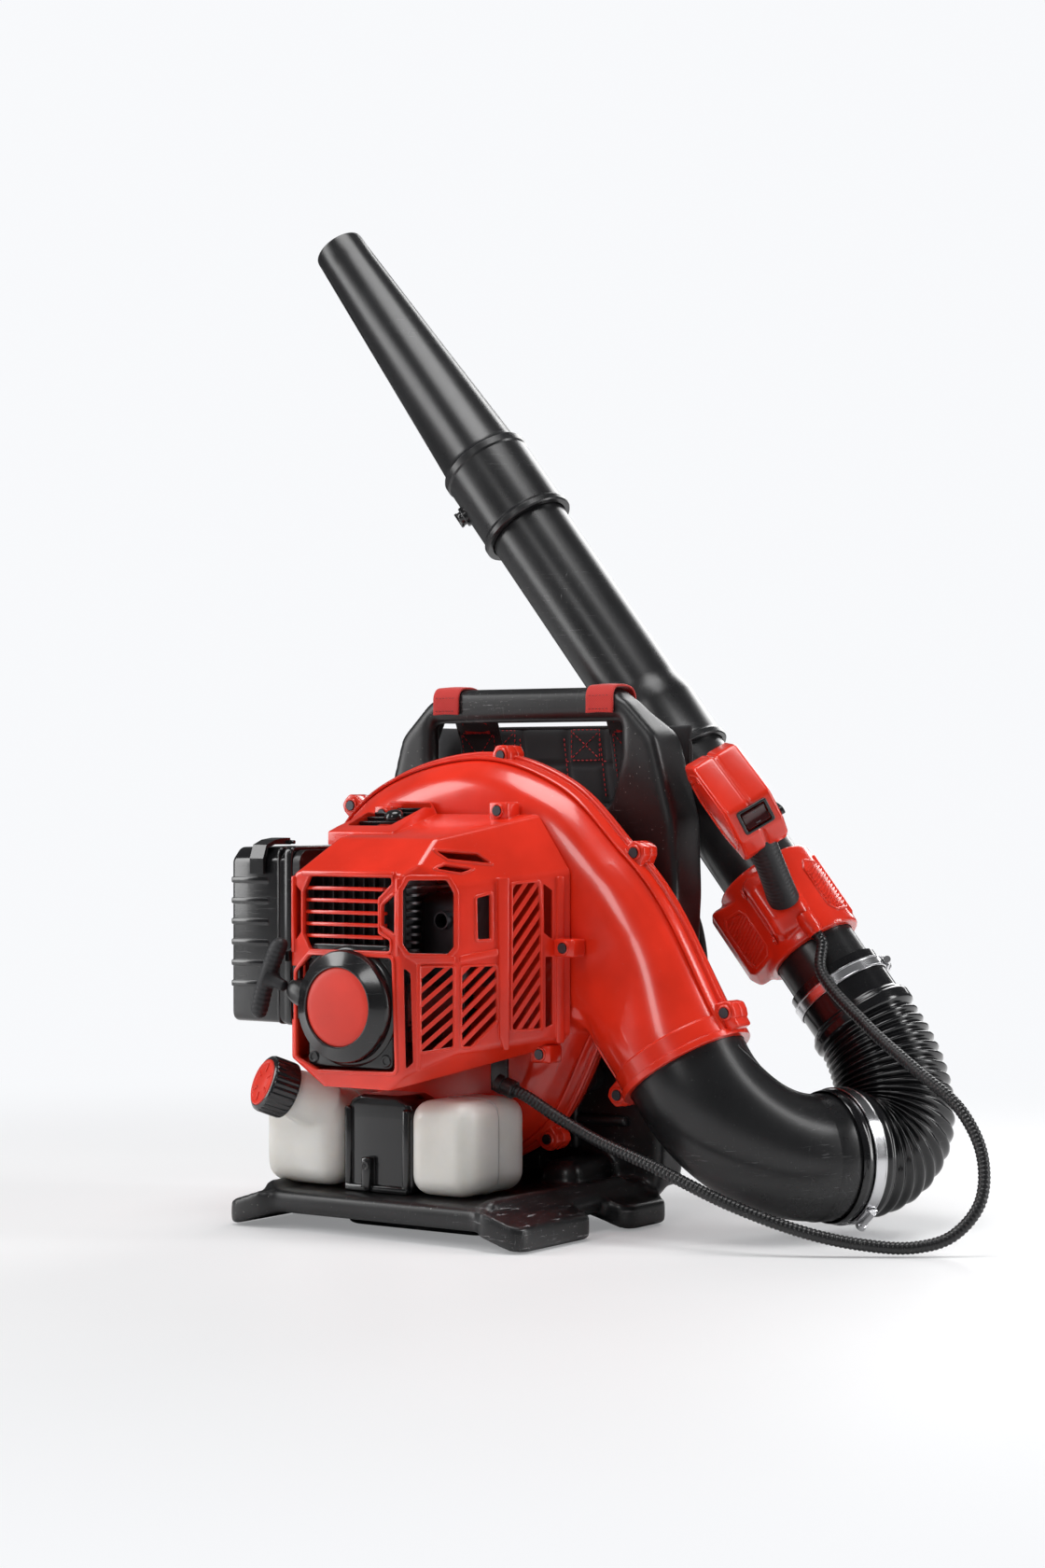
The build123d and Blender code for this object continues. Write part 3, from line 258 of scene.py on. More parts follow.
def handle_plane(w):
    """Plates drawn in the handle's u, v plane at this w."""
    return matrix_of(on_handle(0, 0, w), TUBE_DIR, HANDLE_OUT, HANDLE_SIDE)


# ---- mesh helpers: sharp is the edge angle in degrees above which shading breaks
def set_material(ob, mat):
    ob.data.materials.clear()
    ob.data.materials.append(mat)


def link(name, me, mat=None):
    ob = bpy.data.objects.new(name, me)
    bpy.context.scene.collection.objects.link(ob)
    if mat is not None:
        set_material(ob, mat)
    return ob


def finish(ob, sharp=None):
    ob.data.shade_smooth()
    if sharp:
        ob.data.set_sharp_from_angle(angle=math.radians(sharp))
    return ob


@contextmanager
def edited(me):
    bm = bmesh.new()
    bm.from_mesh(me)
    yield bm
    bm.to_mesh(me)
    bm.free()


def recalc(ob):
    with edited(ob.data) as bm:
        bmesh.ops.recalc_face_normals(bm, faces=bm.faces[:])
    return ob


def merge(me, dist):
    """Welds vertices closer than dist metres and turns the faces outward."""
    with edited(me) as bm:
        bmesh.ops.remove_doubles(bm, verts=bm.verts[:], dist=dist)
        bmesh.ops.recalc_face_normals(bm, faces=bm.faces[:])


def mesh(verts, faces, mat=None, name="part", smooth=True):
    me = bpy.data.meshes.new(name)
    me.from_pydata([tuple(float(c) * MM for c in v) for v in verts], [],
                   [tuple(int(i) for i in f) for f in faces])
    me.update()
    ob = link(name, me, mat)
    return finish(ob) if smooth else ob


def skin_faces(rows, width, closed=True, caps=True, start=0):
    """Quads between rows of width vertices; closed joins each row's last vertex to its first."""
    faces = []
    for i in range(rows - 1):
        a, b = start + i * width, start + (i + 1) * width
        for k in range(width if closed else width - 1):
            j = (k + 1) % width
            faces.append((a + k, a + j, b + j, b + k))
    if caps:
        faces += [tuple(range(width))[::-1], tuple(range((rows - 1) * width, rows * width))]
    return faces


def sheet_faces(rows, width, start=0):
    return skin_faces(rows, width, closed=False, caps=False, start=start)


def apply_mods(ob):
    bpy.context.view_layer.update()
    graph = bpy.context.evaluated_depsgraph_get()
    me = bpy.data.meshes.new_from_object(ob.evaluated_get(graph), depsgraph=graph)
    ob.modifiers.clear()
    old = ob.data
    ob.data = me
    if old.users == 0:
        bpy.data.meshes.remove(old)
    return ob


def lathe(origin, axis, profile, seg=96, sharp=32, ref=None, close=False, mat=None,
          name="part"):
    """Surface of revolution: profile is (distance along the axis, radius) in mm."""
    origin = np.array(origin, float)
    x, y, z = basis(axis, ref)
    verts, faces, rows = [], [], []
    for along, radius in profile:
        count = 1 if radius < 1e-6 else seg
        rows.append(list(range(len(verts), len(verts) + count)))
        if count == 1:
            verts.append(origin + z * along)
        else:
            verts += [origin + z * along + around(x, y, math.tau * k / seg) * radius
                      for k in range(seg)]
    for a, b in list(zip(rows, rows[1:])) + ([(rows[-1], rows[0])] if close else []):
        for k in range(seg):
            j = (k + 1) % seg
            if len(a) == 1 and len(b) == 1:
                continue
            if len(a) == 1:
                faces.append((a[0], b[j], b[k]))
            elif len(b) == 1:
                faces.append((a[k], a[j], b[0]))
            else:
                faces.append((a[k], a[j], b[j], b[k]))
    return finish(recalc(mesh(verts, faces, mat, name)), sharp)


def frames(pts):
    """Points with their tangents and two side directions carried along without twist."""
    pts = np.array(pts, float)
    tan = tangents(pts)
    sides = [basis(tan[0])[0]]
    for t in tan[1:]:
        sides.append(unit(sides[-1] - t * (sides[-1] @ t)))
    sides = np.array(sides)
    return pts, tan, sides, np.cross(tan, sides)


def smoothed_curvature(pts, tan, window=9):
    step = np.linalg.norm(np.diff(pts, axis=0), axis=1)
    step = np.append(step, step[-1])
    curv = np.gradient(tan, axis=0) / step[:, None]
    kernel = np.ones(window) / window
    return np.stack([np.convolve(np.pad(curv[:, i], window // 2, mode="edge"), kernel, "valid")
                     for i in range(3)], 1)


def sweep(pts, radii, seg, cap=True, pinch=False, mat=None, name="part"):
    """Round pipe through pts; radii is a number or one per point. pinch keeps the inside of
    a tight bend from crossing."""
    pts, tan, xs, ys = frames(pts)
    count = len(pts)
    radii = np.full(count, radii) if np.isscalar(radii) else np.array(radii, float)
    curvature = smoothed_curvature(pts, tan) if pinch else np.zeros((count, 3))
    angles = (np.arange(seg) * 2 * math.pi / seg)[:, None]
    verts = []
    for i in range(count):
        ring = (np.cos(angles) * xs[i] + np.sin(angles) * ys[i]) * radii[i]
        bend = np.linalg.norm(curvature[i])
        if bend > 1e-6:
            normal = curvature[i] / bend
            over = np.clip(ring @ normal - 0.93 / bend, 0, None)
            ring = ring - over[:, None] * normal
        verts.extend(pts[i] + ring)
    return mesh(verts, skin_faces(count, seg, caps=cap), mat, name)


def plate(outline, depth, bevel, at, holes=(), res=3, sharp=38, mat=None, name="part"):
    """Flat plate of a 2D outline with rounded edges. depth is its whole thickness, centred on
    the matrix's plane."""
    curve = bpy.data.curves.new(name, "CURVE")
    curve.dimensions = "2D"
    curve.fill_mode = "BOTH"
    for poly in [outline, *holes]:
        spline = curve.splines.new("POLY")
        spline.points.add(len(poly) - 1)
        for point, p in zip(spline.points, poly):
            point.co = (float(p[0]) * MM, float(p[1]) * MM, 0, 1)
        spline.use_cyclic_u = True
    curve.extrude = max(depth / 2 - bevel, 0.01) * MM
    curve.bevel_depth = bevel * MM
    curve.bevel_resolution = res
    curve.offset = -bevel * MM
    ob = link(name, curve)
    bpy.context.view_layer.update()
    graph = bpy.context.evaluated_depsgraph_get()
    me = bpy.data.meshes.new_from_object(ob.evaluated_get(graph), depsgraph=graph)
    bpy.data.objects.remove(ob)
    me.transform(at)
    merge(me, 1e-5)
    return finish(link(name, me, mat), sharp)


def cube(lo, hi):
    lo, hi = np.array(lo, float), np.array(hi, float)
    bm = bmesh.new()
    place = Matrix.Translation(Vector((lo + hi) / 2)) @ Matrix.Diagonal((*(hi - lo), 1))
    bmesh.ops.create_cube(bm, size=1.0, matrix=place)
    return bm


def from_bmesh(bm, sharp, at=None, mat=None):
    bmesh.ops.scale(bm, vec=(MM, MM, MM), verts=bm.verts[:])
    if at is not None:
        bmesh.ops.transform(bm, matrix=at, verts=bm.verts[:])
    me = bpy.data.meshes.new("part")
    bm.to_mesh(me)
    bm.free()
    return finish(link("part", me, mat), sharp)


def rbox(lo, hi, radius, seg=3, at=None, mat=None):
    """Box with rounded edges."""
    bm = cube(lo, hi)
    bmesh.ops.bevel(bm, geom=bm.edges[:], offset=radius, segments=seg, profile=0.5,
                    affect="EDGES")
    return from_bmesh(bm, 40, at, mat)


def halfspaces(lo, hi, planes, bevel, seg, open_back=None, sharp=35):
    """Convex solid of a box cut by planes (point, outward normal), its edges bevelled.
    open_back removes the faces that point that way."""
    bm = cube(lo, hi)
    for point, normal in planes:
        geom = bm.verts[:] + bm.edges[:] + bm.faces[:]
        cut = bmesh.ops.bisect_plane(bm, geom=geom, plane_co=Vector(point), dist=1e-4,
                                     plane_no=Vector(unit(normal)), clear_outer=True)
        cut = [e for e in cut["geom_cut"] if isinstance(e, bmesh.types.BMEdge)]
        if len(cut) > 2:
            bmesh.ops.contextual_create(bm, geom=cut)
    bmesh.ops.recalc_face_normals(bm, faces=bm.faces[:])

    def is_open(face):
        return open_back is not None and face.normal.dot(Vector(open_back)) > 0.95

    edges = [e for e in bm.edges if not any(is_open(f) for f in e.link_faces)]
    bmesh.ops.bevel(bm, geom=edges, offset=bevel, segments=seg, profile=0.6, affect="EDGES",
                    clamp_overlap=True)
    if open_back is not None:
        bmesh.ops.delete(bm, geom=[f for f in bm.faces if is_open(f)], context="FACES")
    return from_bmesh(bm, sharp)


def prism(poly3, normal, up, down):
    """Closed prism over a flat 3D polygon."""
    normal = unit(normal)
    top = [np.array(p, float) + normal * up for p in poly3]
    bottom = [np.array(p, float) - normal * down for p in poly3]
    n = len(top)
    faces = [tuple(range(n)), tuple(range(2 * n - 1, n - 1, -1))]
    faces += [(i, i + n, (i + 1) % n + n, (i + 1) % n) for i in range(n)]
    return top + bottom, faces


def cutter(prisms):
    verts, faces = [], []
    for prism_verts, prism_faces in prisms:
        start = len(verts)
        verts += prism_verts
        faces += [tuple(i + start for i in f) for f in prism_faces]
    return recalc(mesh(verts, faces, smooth=False))


def boolean(ob, cut):
    mod = ob.modifiers.new("cut", "BOOLEAN")
    mod.object = cut
    mod.operation = "DIFFERENCE"
    mod.solver = "EXACT"
    apply_mods(ob)
    bpy.data.objects.remove(cut)
    return ob


def carve(ob, groups):
    """Cuts groups of prisms one group at a time. A cut that loses over a fifth of the faces
    is taken as failed and undone, and its group is cut prism by prism."""
    def attempt(prisms):
        keep = ob.data.copy()
        count = len(ob.data.polygons)
        boolean(ob, cutter(prisms))
        failed = len(ob.data.polygons) < count * 0.8
        spare = keep
        if failed:
            spare, ob.data = ob.data, keep
        bpy.data.meshes.remove(spare)
        return not failed

    for group in groups:
        if not attempt(group):
            for one in group:
                attempt([one])


def join(name, objs, mat=None):
    """One object of several meshes; materials are kept per piece when mat is None."""
    bm = bmesh.new()
    mats = []
    for ob in objs:
        slot = {}
        for i, m in enumerate(ob.data.materials):
            if m not in mats:
                mats.append(m)
            slot[i] = mats.index(m)
        start = len(bm.faces)
        copy = ob.data.copy()
        copy.transform(ob.matrix_world)
        bm.from_mesh(copy)
        bm.faces.ensure_lookup_table()
        for f in bm.faces[start:]:
            f.material_index = slot.get(f.material_index, 0)
        bpy.data.meshes.remove(copy)
    me = bpy.data.meshes.new(name)
    bm.to_mesh(me)
    bm.free()
    for ob in objs:
        bpy.data.objects.remove(ob)
    ob = link(name, me)
    index = np.zeros(len(me.polygons), np.int32)
    me.polygons.foreach_get("material_index", index)
    for m in ([mat] if mat else mats):
        me.materials.append(m)
    me.polygons.foreach_set("material_index", index * 0 if mat else index)
    return ob


def register(ob, replaces=None, body="blower"):
    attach(ob, body)
    if replaces:
        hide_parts(replaces)
    return ob


def assemble(name, parts, mat, sharp, replaces=None, body="blower"):
    return register(finish(join(name, parts, mat), sharp), replaces, body)


def remesh(ob, size, smooth):
    """Voxel remesh at a size in mm, then a number of smoothing passes."""
    mod = ob.modifiers.new("voxels", "REMESH")
    mod.mode = "VOXEL"
    mod.voxel_size = size * MM
    mod.use_smooth_shade = True
    if smooth:
        mod = ob.modifiers.new("smooth", "SMOOTH")
        mod.factor = 0.5
        mod.iterations = smooth
    return finish(apply_mods(ob))


def thicken(ob, thickness, mat, bevel=0):
    """Gives a sheet its thickness, centred on it."""
    mod = ob.modifiers.new("thick", "SOLIDIFY")
    mod.thickness = thickness * MM
    mod.offset = 0
    if bevel:
        mod = ob.modifiers.new("bevel", "BEVEL")
        mod.width = bevel * MM
        mod.segments = 2
        mod.limit_method = "ANGLE"
    apply_mods(ob)
    set_material(ob, mat)
    return ob


# ---- materials: bump, bevel and noise work in object space, in metres
class Shader:
    """A material with a Principled surface. Inputs take a value or another node's socket."""

    def __init__(self, name):
        self.material = bpy.data.materials.new(name)
        self.material.use_nodes = True
        self.tree = self.material.node_tree
        self.tree.nodes.clear()
        self.out = self.node("OutputMaterial")
        self.surface = self.node("BsdfPrincipled")
        self.feed(self.out.inputs[0], self.surface.outputs[0])
        self.coords = self.node("TexCoord").outputs["Object"]

    def feed(self, socket, value):
        if isinstance(value, bpy.types.NodeSocket):
            self.tree.links.new(value, socket)
        else:
            socket.default_value = value

    def node(self, kind, inputs={}, **settings):
        n = self.tree.nodes.new("ShaderNode" + kind)
        for key, value in settings.items():
            setattr(n, key, value)
        for key, value in inputs.items():
            self.feed(n.inputs[key], value)
        return n

    def set(self, **inputs):
        for key, value in inputs.items():
            self.feed(self.surface.inputs[key.replace("_", " ")], value)

    def mapping(self, scale, rot=(0, 0, 0)):
        return self.node("Mapping", {"Scale": scale, "Rotation": rot,
                                     "Vector": self.coords}).outputs[0]

    def noise(self, scale, detail=4, rough=0.5, vec=None):
        return self.node("TexNoise", {"Scale": scale, "Detail": detail, "Roughness": rough,
                                      "Vector": vec or self.coords}).outputs["Fac"]

    def ramp(self, fac, start, end, lo=(0, 0, 0, 1), hi=(1, 1, 1, 1)):
        n = self.node("ValToRGB", {0: fac})
        for stop, at, color in zip(n.color_ramp.elements, (start, end), (lo, hi)):
            stop.position = at
            stop.color = color
        return n.outputs[0]

    def math(self, op, *values):
        return self.node("Math", dict(enumerate(values)), operation=op).outputs[0]

    def mix(self, fac, a, b):
        a, b = ((*c, 1) if isinstance(c, tuple) else c for c in (a, b))
        return self.node("Mix", {0: fac, 6: a, 7: b}, data_type="RGBA").outputs[2]

    def bump(self, height, strength, dist, normal=None):
        inputs = {"Strength": strength, "Distance": dist, "Height": height}
        if normal is not None:
            inputs["Normal"] = normal
        return self.node("Bump", inputs).outputs[0]

    def bevel(self, radius):
        return self.node("Bevel", {"Radius": radius}, samples=4).outputs[0]

    def edge(self, bevelled):
        """0 on flats, towards 1 where the rounded normal leaves the face's own."""
        flat = self.node("NewGeometry").outputs["Normal"]
        dot = self.node("VectorMath", {0: bevelled, 1: flat}, operation="DOT_PRODUCT")
        return self.math("SUBTRACT", 1.0, dot.outputs["Value"])


def plastic(name, color, rough, spread, grain, grain_scale, scuff, bevel, coat, edge_light=0.0,
            dust=0.0, specular=0.5):
    mat = Shader(name)
    big = mat.noise(14, 3)
    mid = mat.noise(90, 5, 0.6)
    darker = tuple(c * 0.86 for c in color)
    lighter = tuple(min(c * 1.08 + 0.002, 1) for c in color)
    col = mat.mix(mat.ramp(big, 0.35, 0.65), darker, lighter)
    roughness = mat.math("MULTIPLY_ADD", mat.math("ADD", big, mid), spread, rough - spread)
    bevelled = mat.bevel(bevel) if bevel else None
    if edge_light:
        edge = mat.math("MINIMUM", mat.math("MULTIPLY", mat.edge(bevelled), 7.0), 1.0)
        col = mat.mix(mat.math("MULTIPLY", edge, edge_light), col,
                      tuple(min(c * 2.2 + 0.03, 1) for c in color))
    if scuff:
        # fine scratches in two directions, only in patches
        along = mat.mapping((4, 4, 60), (0.4, 0.5, 0.2))
        across = mat.mapping((70, 6, 5), (0.2, 1.1, 0.6))
        lines = mat.math("MAXIMUM", mat.ramp(mat.noise(9, 6, 0.75, along), 0.60, 0.66),
                         mat.ramp(mat.noise(11, 6, 0.75, across), 0.62, 0.68))
        patch = mat.ramp(mat.noise(9, 3, 0.5), 0.5, 0.68)
        marks = mat.math("MULTIPLY", lines, mat.math("MULTIPLY", patch, scuff))
        col = mat.mix(marks, col, (0.35, 0.35, 0.36))
        roughness = mat.math("ADD", roughness, mat.math("MULTIPLY", marks, 0.35))
    if dust:
        specks = mat.math("MULTIPLY", mat.ramp(mat.noise(420, 2), 0.70, 0.76), dust)
        col = mat.mix(specks, col, (0.5, 0.49, 0.47))
    height = mat.math("ADD", mat.math("MULTIPLY", mat.noise(grain_scale, 2), 0.5),
                      mat.math("MULTIPLY", mat.noise(30, 2), 0.6))
    mat.set(Base_Color=col, Roughness=roughness, Coat_Weight=coat, Coat_Roughness=0.08,
            IOR=1.5, Specular_IOR_Level=specular,
            Normal=mat.bump(height, grain, 0.0004, bevelled))
    return mat.material


def metal(name, color, rough, brush, bump):
    """brush stretches the noise; None gives a cast surface."""
    mat = Shader(name)
    fine = (mat.noise(60, 6, 0.6, mat.mapping(brush)) if brush
            else mat.noise(240, 6, 0.6))
    broad = mat.noise(12, 4)
    spread = mat.math("ADD", fine, broad)
    mat.set(Metallic=1.0,
            Base_Color=mat.mix(mat.ramp(broad, 0.3, 0.7), tuple(c * 0.8 for c in color), color),
            Roughness=mat.math("MULTIPLY_ADD", spread, 0.12, rough - 0.1),
            Normal=mat.bump(fine, bump, 0.0003, mat.bevel(0.0005)))
    return mat.material


def woven(name, color, scale, faded, rough, sheen, depth):
    """Plain weave from two crossed waves in object space, with fluff and fading."""
    mat = Shader(name)
    wobble = mat.node("TexNoise", {"Scale": 60, "Vector": mat.coords}).outputs["Color"]
    wobble = mat.node("VectorMath", {0: wobble, "Scale": 0.0006}, operation="SCALE").outputs[0]
    bent = mat.node("VectorMath", {0: mat.coords, 1: wobble}, operation="ADD").outputs[0]
    xyz = mat.node("SeparateXYZ", {0: bent}).outputs
    waves = []
    for axis, slant in ((0, 0.7), (2, 0.55)):
        along = mat.math("ADD", xyz[axis], mat.math("MULTIPLY", xyz[1], slant))
        waves.append(mat.math("SINE", mat.math("MULTIPLY", along, scale * 2 * math.pi)))
    weave = mat.math("MULTIPLY_ADD", mat.math("MULTIPLY", *waves), 0.5, 0.5)
    fade = mat.math("MULTIPLY", mat.ramp(mat.noise(16, 5), 0.3, 0.7), 0.35)
    faded = faded or tuple(min(c * 2.2 + 0.01, 1) for c in color)
    col = mat.mix(weave, tuple(c * 0.55 for c in color), color)
    height = mat.math("ADD", mat.math("MULTIPLY", weave, depth),
                      mat.math("MULTIPLY", mat.noise(1400, 3), 0.3))
    mat.set(Base_Color=mat.mix(fade, col, faded), Roughness=rough, Sheen_Weight=sheen,
            Sheen_Roughness=0.4, Normal=mat.bump(height, 0.6, 0.0004))
    return mat.material


def spacer_net():
    """A raised net over a dark ground."""
    mat = Shader("black_spacer_net")
    cells = mat.node("TexVoronoi", {"Scale": 330.0, "Randomness": 0.35, "Vector": mat.coords},
                     feature="DISTANCE_TO_EDGE").outputs["Distance"]
    cords = mat.ramp(cells, 0.10, 0.26, lo=(1, 1, 1, 1), hi=(0, 0, 0, 1))
    mat.set(Base_Color=mat.mix(cords, (0.004, 0.004, 0.005), (0.035, 0.035, 0.038)),
            Roughness=0.8, Sheen_Weight=0.3, Normal=mat.bump(cords, 0.9, 0.0012))
    return mat.material


def milky_plastic():
    mat = Shader("tank_milky")
    cloud = mat.noise(18, 4)
    height = mat.math("ADD", mat.math("MULTIPLY", mat.noise(900, 2), 0.3),
                      mat.math("MULTIPLY", mat.noise(22, 3), 0.9))
    mat.set(Base_Color=mat.mix(mat.ramp(cloud, 0.3, 0.7), (0.72, 0.70, 0.65),
                               (0.84, 0.825, 0.785)),
            Subsurface_Weight=0.55, Subsurface_Scale=0.02, Subsurface_Radius=(1.0, 0.9, 0.75),
            Transmission_Weight=0.12, IOR=1.45, Coat_Weight=0.15, Coat_Roughness=0.2,
            Roughness=mat.math("MULTIPLY_ADD", cloud, 0.12, 0.27),
            Normal=mat.bump(height, 0.16, 0.0006))
    return mat.material


INK = (0.009, 0.009, 0.010)
# name, colour, roughness, its spread, grain strength, grain scale, scuffs, bevel radius (m),
# coat, edge lightening, dust, specular level
RED, RED_SATIN, BLACK, MOULDED, GLOSS, HOSE, SATIN, GREY, RUBBER, GRIP, SWITCH = (
    plastic(*row) for row in (
        ("red_gloss", (0.80, 0.028, 0.008), 0.24, 0.07, 0.05, 1800, 0, 0.0011, 0.35, 0.35, 0.05),
        ("red_satin", (0.72, 0.030, 0.012), 0.42, 0.07, 0.08, 2600, 0, 0.0006, 0, 0.25),
        ("black_satin", INK, 0.32, 0.09, 0.10, 1500, 0.55, 0.0010, 0, 0.5, 0.25),
        ("black_moulded", INK, 0.35, 0.10, 0.22, 700, 0.9, 0, 0, 0, 0.35),
        ("black_gloss", (0.008, 0.008, 0.009), 0.20, 0.06, 0.05, 1800, 0.2, 0.0008, 0.3, 0.5),
        ("hose_gloss", (0.006, 0.006, 0.007), 0.17, 0.05, 0.04, 900, 0.12, 0, 0.2, 0, 0.06),
        ("tube_satin", (0.011, 0.011, 0.012), 0.29, 0.07, 0.05, 900, 0.45, 0.0008, 0, 0.4, 0.06),
        ("grey_satin", (0.10, 0.105, 0.115), 0.38, 0.06, 0.1, 1800, 0.2, 0.0008, 0, 0.4),
        ("rubber", (0.014, 0.014, 0.015), 0.62, 0.08, 0.30, 1300, 0, 0.0006, 0, 0, 0.2, 0.35),
        ("grip_rubber", (0.016, 0.016, 0.018), 0.50, 0.08, 0.55, 800, 0, 0.0006, 0, 0, 0, 0.4),
        ("switch_red", (0.045, 0.003, 0.004), 0.22, 0.04, 0.04, 1500, 0, 0.0006, 0.4, 0.3)))
# name, colour, roughness, brush stretch, bump strength
STEEL, DARK_STEEL, CAST, BRASS = (
    metal(*row) for row in (
        ("bright_steel", (0.78, 0.78, 0.80), 0.20, (3, 3, 3), 0.05),
        ("dark_steel", (0.10, 0.10, 0.11), 0.36, (2, 2, 30), 0.1),
        ("cast_aluminium", (0.55, 0.55, 0.57), 0.42, None, 0.35),
        ("brass", (0.75, 0.55, 0.24), 0.26, (3, 3, 3), 0.05)))
# name, colour, threads per metre, faded colour, roughness, sheen, weave depth
FABRIC, RED_WEB, BLACK_WEB, THREAD, DARK_THREAD, FELT, ROPE = (
    woven(*row) for row in (
        ("black_nylon", (0.016, 0.016, 0.018), 700, None, 0.85, 0.25, 0.5),
        ("red_webbing", (0.62, 0.016, 0.012), 420, (0.75, 0.05, 0.03), 0.7, 0.3, 0.9),
        ("black_webbing", (0.014, 0.014, 0.015), 420, None, 0.75, 0.25, 0.9),
        ("red_thread", (0.70, 0.012, 0.02), 1500, None, 0.6, 0.2, 0.5),
        ("dark_thread", (0.20, 0.005, 0.008), 1500, None, 0.6, 0.2, 0.5),
        ("filter_felt", (0.62, 0.58, 0.46), 500, None, 0.95, 0.4, 0.6),
        ("rope_fibre", (0.75, 0.73, 0.68), 600, None, 0.8, 0.3, 0.8)))
NET = spacer_net()
MILKY = milky_plastic()


# ---- blower housing: a scroll round the fan, drawn as a wall line in X, Z
def polar(degrees, radius):
    angle = math.radians(degrees)
    return FAN_X + radius * math.cos(angle), FAN_Z + radius * math.sin(angle)


# degrees clockwise from -11, radius
SPIRAL = catmull([(*polar(-11 - turn, radius), 0) for turn, radius in (
    (0, 153), (40, 152), (78, 156), (120, 170), (168, 190), (224, 208.5), (263, 221),
    (290, 227), (314, 229.5))], 3.0)[:, :2]
OUTLET_XZ, OUTLET_DIR_XZ = OUTLET[[0, 2]], OUTLET_DIR[[0, 2]]
MOUTH_OUTER = OUTLET_XZ + 59 * OUTLET_ACROSS[[0, 2]]
MOUTH_INNER = OUTLET_XZ - 59 * OUTLET_ACROSS[[0, 2]]
spiral_end_dir = unit(SPIRAL[-1] - SPIRAL[-3])
wall_span = np.linalg.norm(MOUTH_OUTER - SPIRAL[-1])
WALL = resample(bezier([SPIRAL[-1], SPIRAL[-1] + spiral_end_dir * wall_span * 0.38,
                        MOUTH_OUTER - OUTLET_DIR_XZ * wall_span * 0.36, MOUTH_OUTER], 60), 3.0)
TONGUE = resample(bezier([MOUTH_INNER, MOUTH_INNER - OUTLET_DIR_XZ * 26,
                          SPIRAL[0] + np.array([6.0, -14.0]), SPIRAL[0]], 30), 3.0)
WALLS = np.vstack([TONGUE[:-1], SPIRAL, WALL[1:]])
RIM = resample(WALLS, 4.0)
# fractions of the way from the wall to the fan axis, close together near the wall
INWARD = np.array([
    0, .0015, .006, .013, .023, .036, .052, .064, .074, .084, .1, .125, .155, .19, .23, .27,
    .31, .35, .39, .43, .47, .51, .56, .62, .7, .8, .9, 1.0])


def wall_distance(p):
    a = WALLS[:-1]
    span = WALLS[1:] - a
    t = np.clip(((p - a) * span).sum(1) / (span * span).sum(1), 0, 1)
    return np.linalg.norm(a + span * t[:, None] - p, axis=1).min()


def shell_height(p):
    """Height of the shell over the split plane: a round shoulder from the wall."""
    dist = wall_distance(p)
    duct = smooth01(((p - OUTLET_XZ) @ OUTLET_DIR_XZ + 115) / 110.0)
    full = 45 + 14 * duct
    q = min(dist / full, 1.0)
    height = full * math.sqrt(max(0.0, 1 - (1 - q) ** 2))
    if duct < 0.9:
        # a groove along the wall and rings round the fan
        height -= 0.9 * (1 - duct) * math.exp(-((dist - 12.5) / 1.3) ** 2)
        radius = math.hypot(p[0] - FAN_X, p[1] - FAN_Z)
        if 100 < radius < 142 and dist > 6:
            ripple = 0.5 + 0.5 * math.cos((radius - 104) / 8.0 * 2 * math.pi)
            height -= 1.3 * ripple * (1 - duct)
        # fuller shoulder where the scroll is tight round the fan
        tight = smooth01((178 - (radius + dist)) / 16.0)
        height += 5.4 * tight * smooth01(dist / 9.0) * smooth01((44 - dist) / 24.0)
    return height


def shell(side, eye):
    """One scroll half on the given side of the split, with a round eye left open."""
    verts, faces = [], []

    def add_rows(lines):
        faces.extend(sheet_faces(len(lines), len(lines[0]), len(verts)))
        for line in lines:
            verts.extend((p[0], SPLIT_Y + side * shell_height(p), p[1]) for p in line)

    add_rows([[p + (FAN - p) * t for t in INWARD] for p in SPIRAL])
    count = 70
    right = resample(WALL, 1.0)
    right = interp_at(np.linspace(0, 1, count), np.linspace(0, 1, len(right)), right)
    inner = np.vstack([np.linspace(FAN, SPIRAL[0], 40)[:-1], TONGUE[::-1]])
    dist = arc_length(inner)
    left = interp_at(np.linspace(0, dist[-1], count), dist, inner)
    across = np.concatenate([INWARD * 0.5, (1 - INWARD[::-1] * 0.5)[1:]])
    add_rows([[a + (b - a) * t for t in across] for a, b in zip(right, left)])

    points = np.array(verts)
    centres = [points[list(f)].mean(0) for f in faces]
    faces = [f for f, c in zip(faces, centres)
             if math.hypot(c[0] - FAN_X, c[2] - FAN_Z) > eye]
    ob = mesh(verts, faces)
    merge(ob.data, 2e-5)
    with edited(ob.data) as bm:
        if sum(f.normal.y * f.calc_area() for f in bm.faces) * side < 0:
            bmesh.ops.reverse_faces(bm, faces=bm.faces[:])
    return finish(ob, 50)


def outward(path):
    """Normals on the left of a 2D path: the outer side of one that runs clockwise."""
    tan = tangents(path)
    return np.stack([-tan[:, 1], tan[:, 0]], 1)


def band(profile):
    """A profile of (outward, y) carried along the rim."""
    verts = [(p[0] + q[0] * out, y, p[1] + q[1] * out)
             for p, q in zip(RIM, outward(RIM)) for out, y in profile]
    return finish(recalc(mesh(verts, skin_faces(len(RIM), len(profile)))), 40)


def rim_flange(side):
    return band([(out, SPLIT_Y + side * off) for out, off in (
        (-4, 4.4), (4.2, 4.4), (5.2, 3.4), (5.2, 0.7), (4.5, 0.15), (-4, 0.15))])


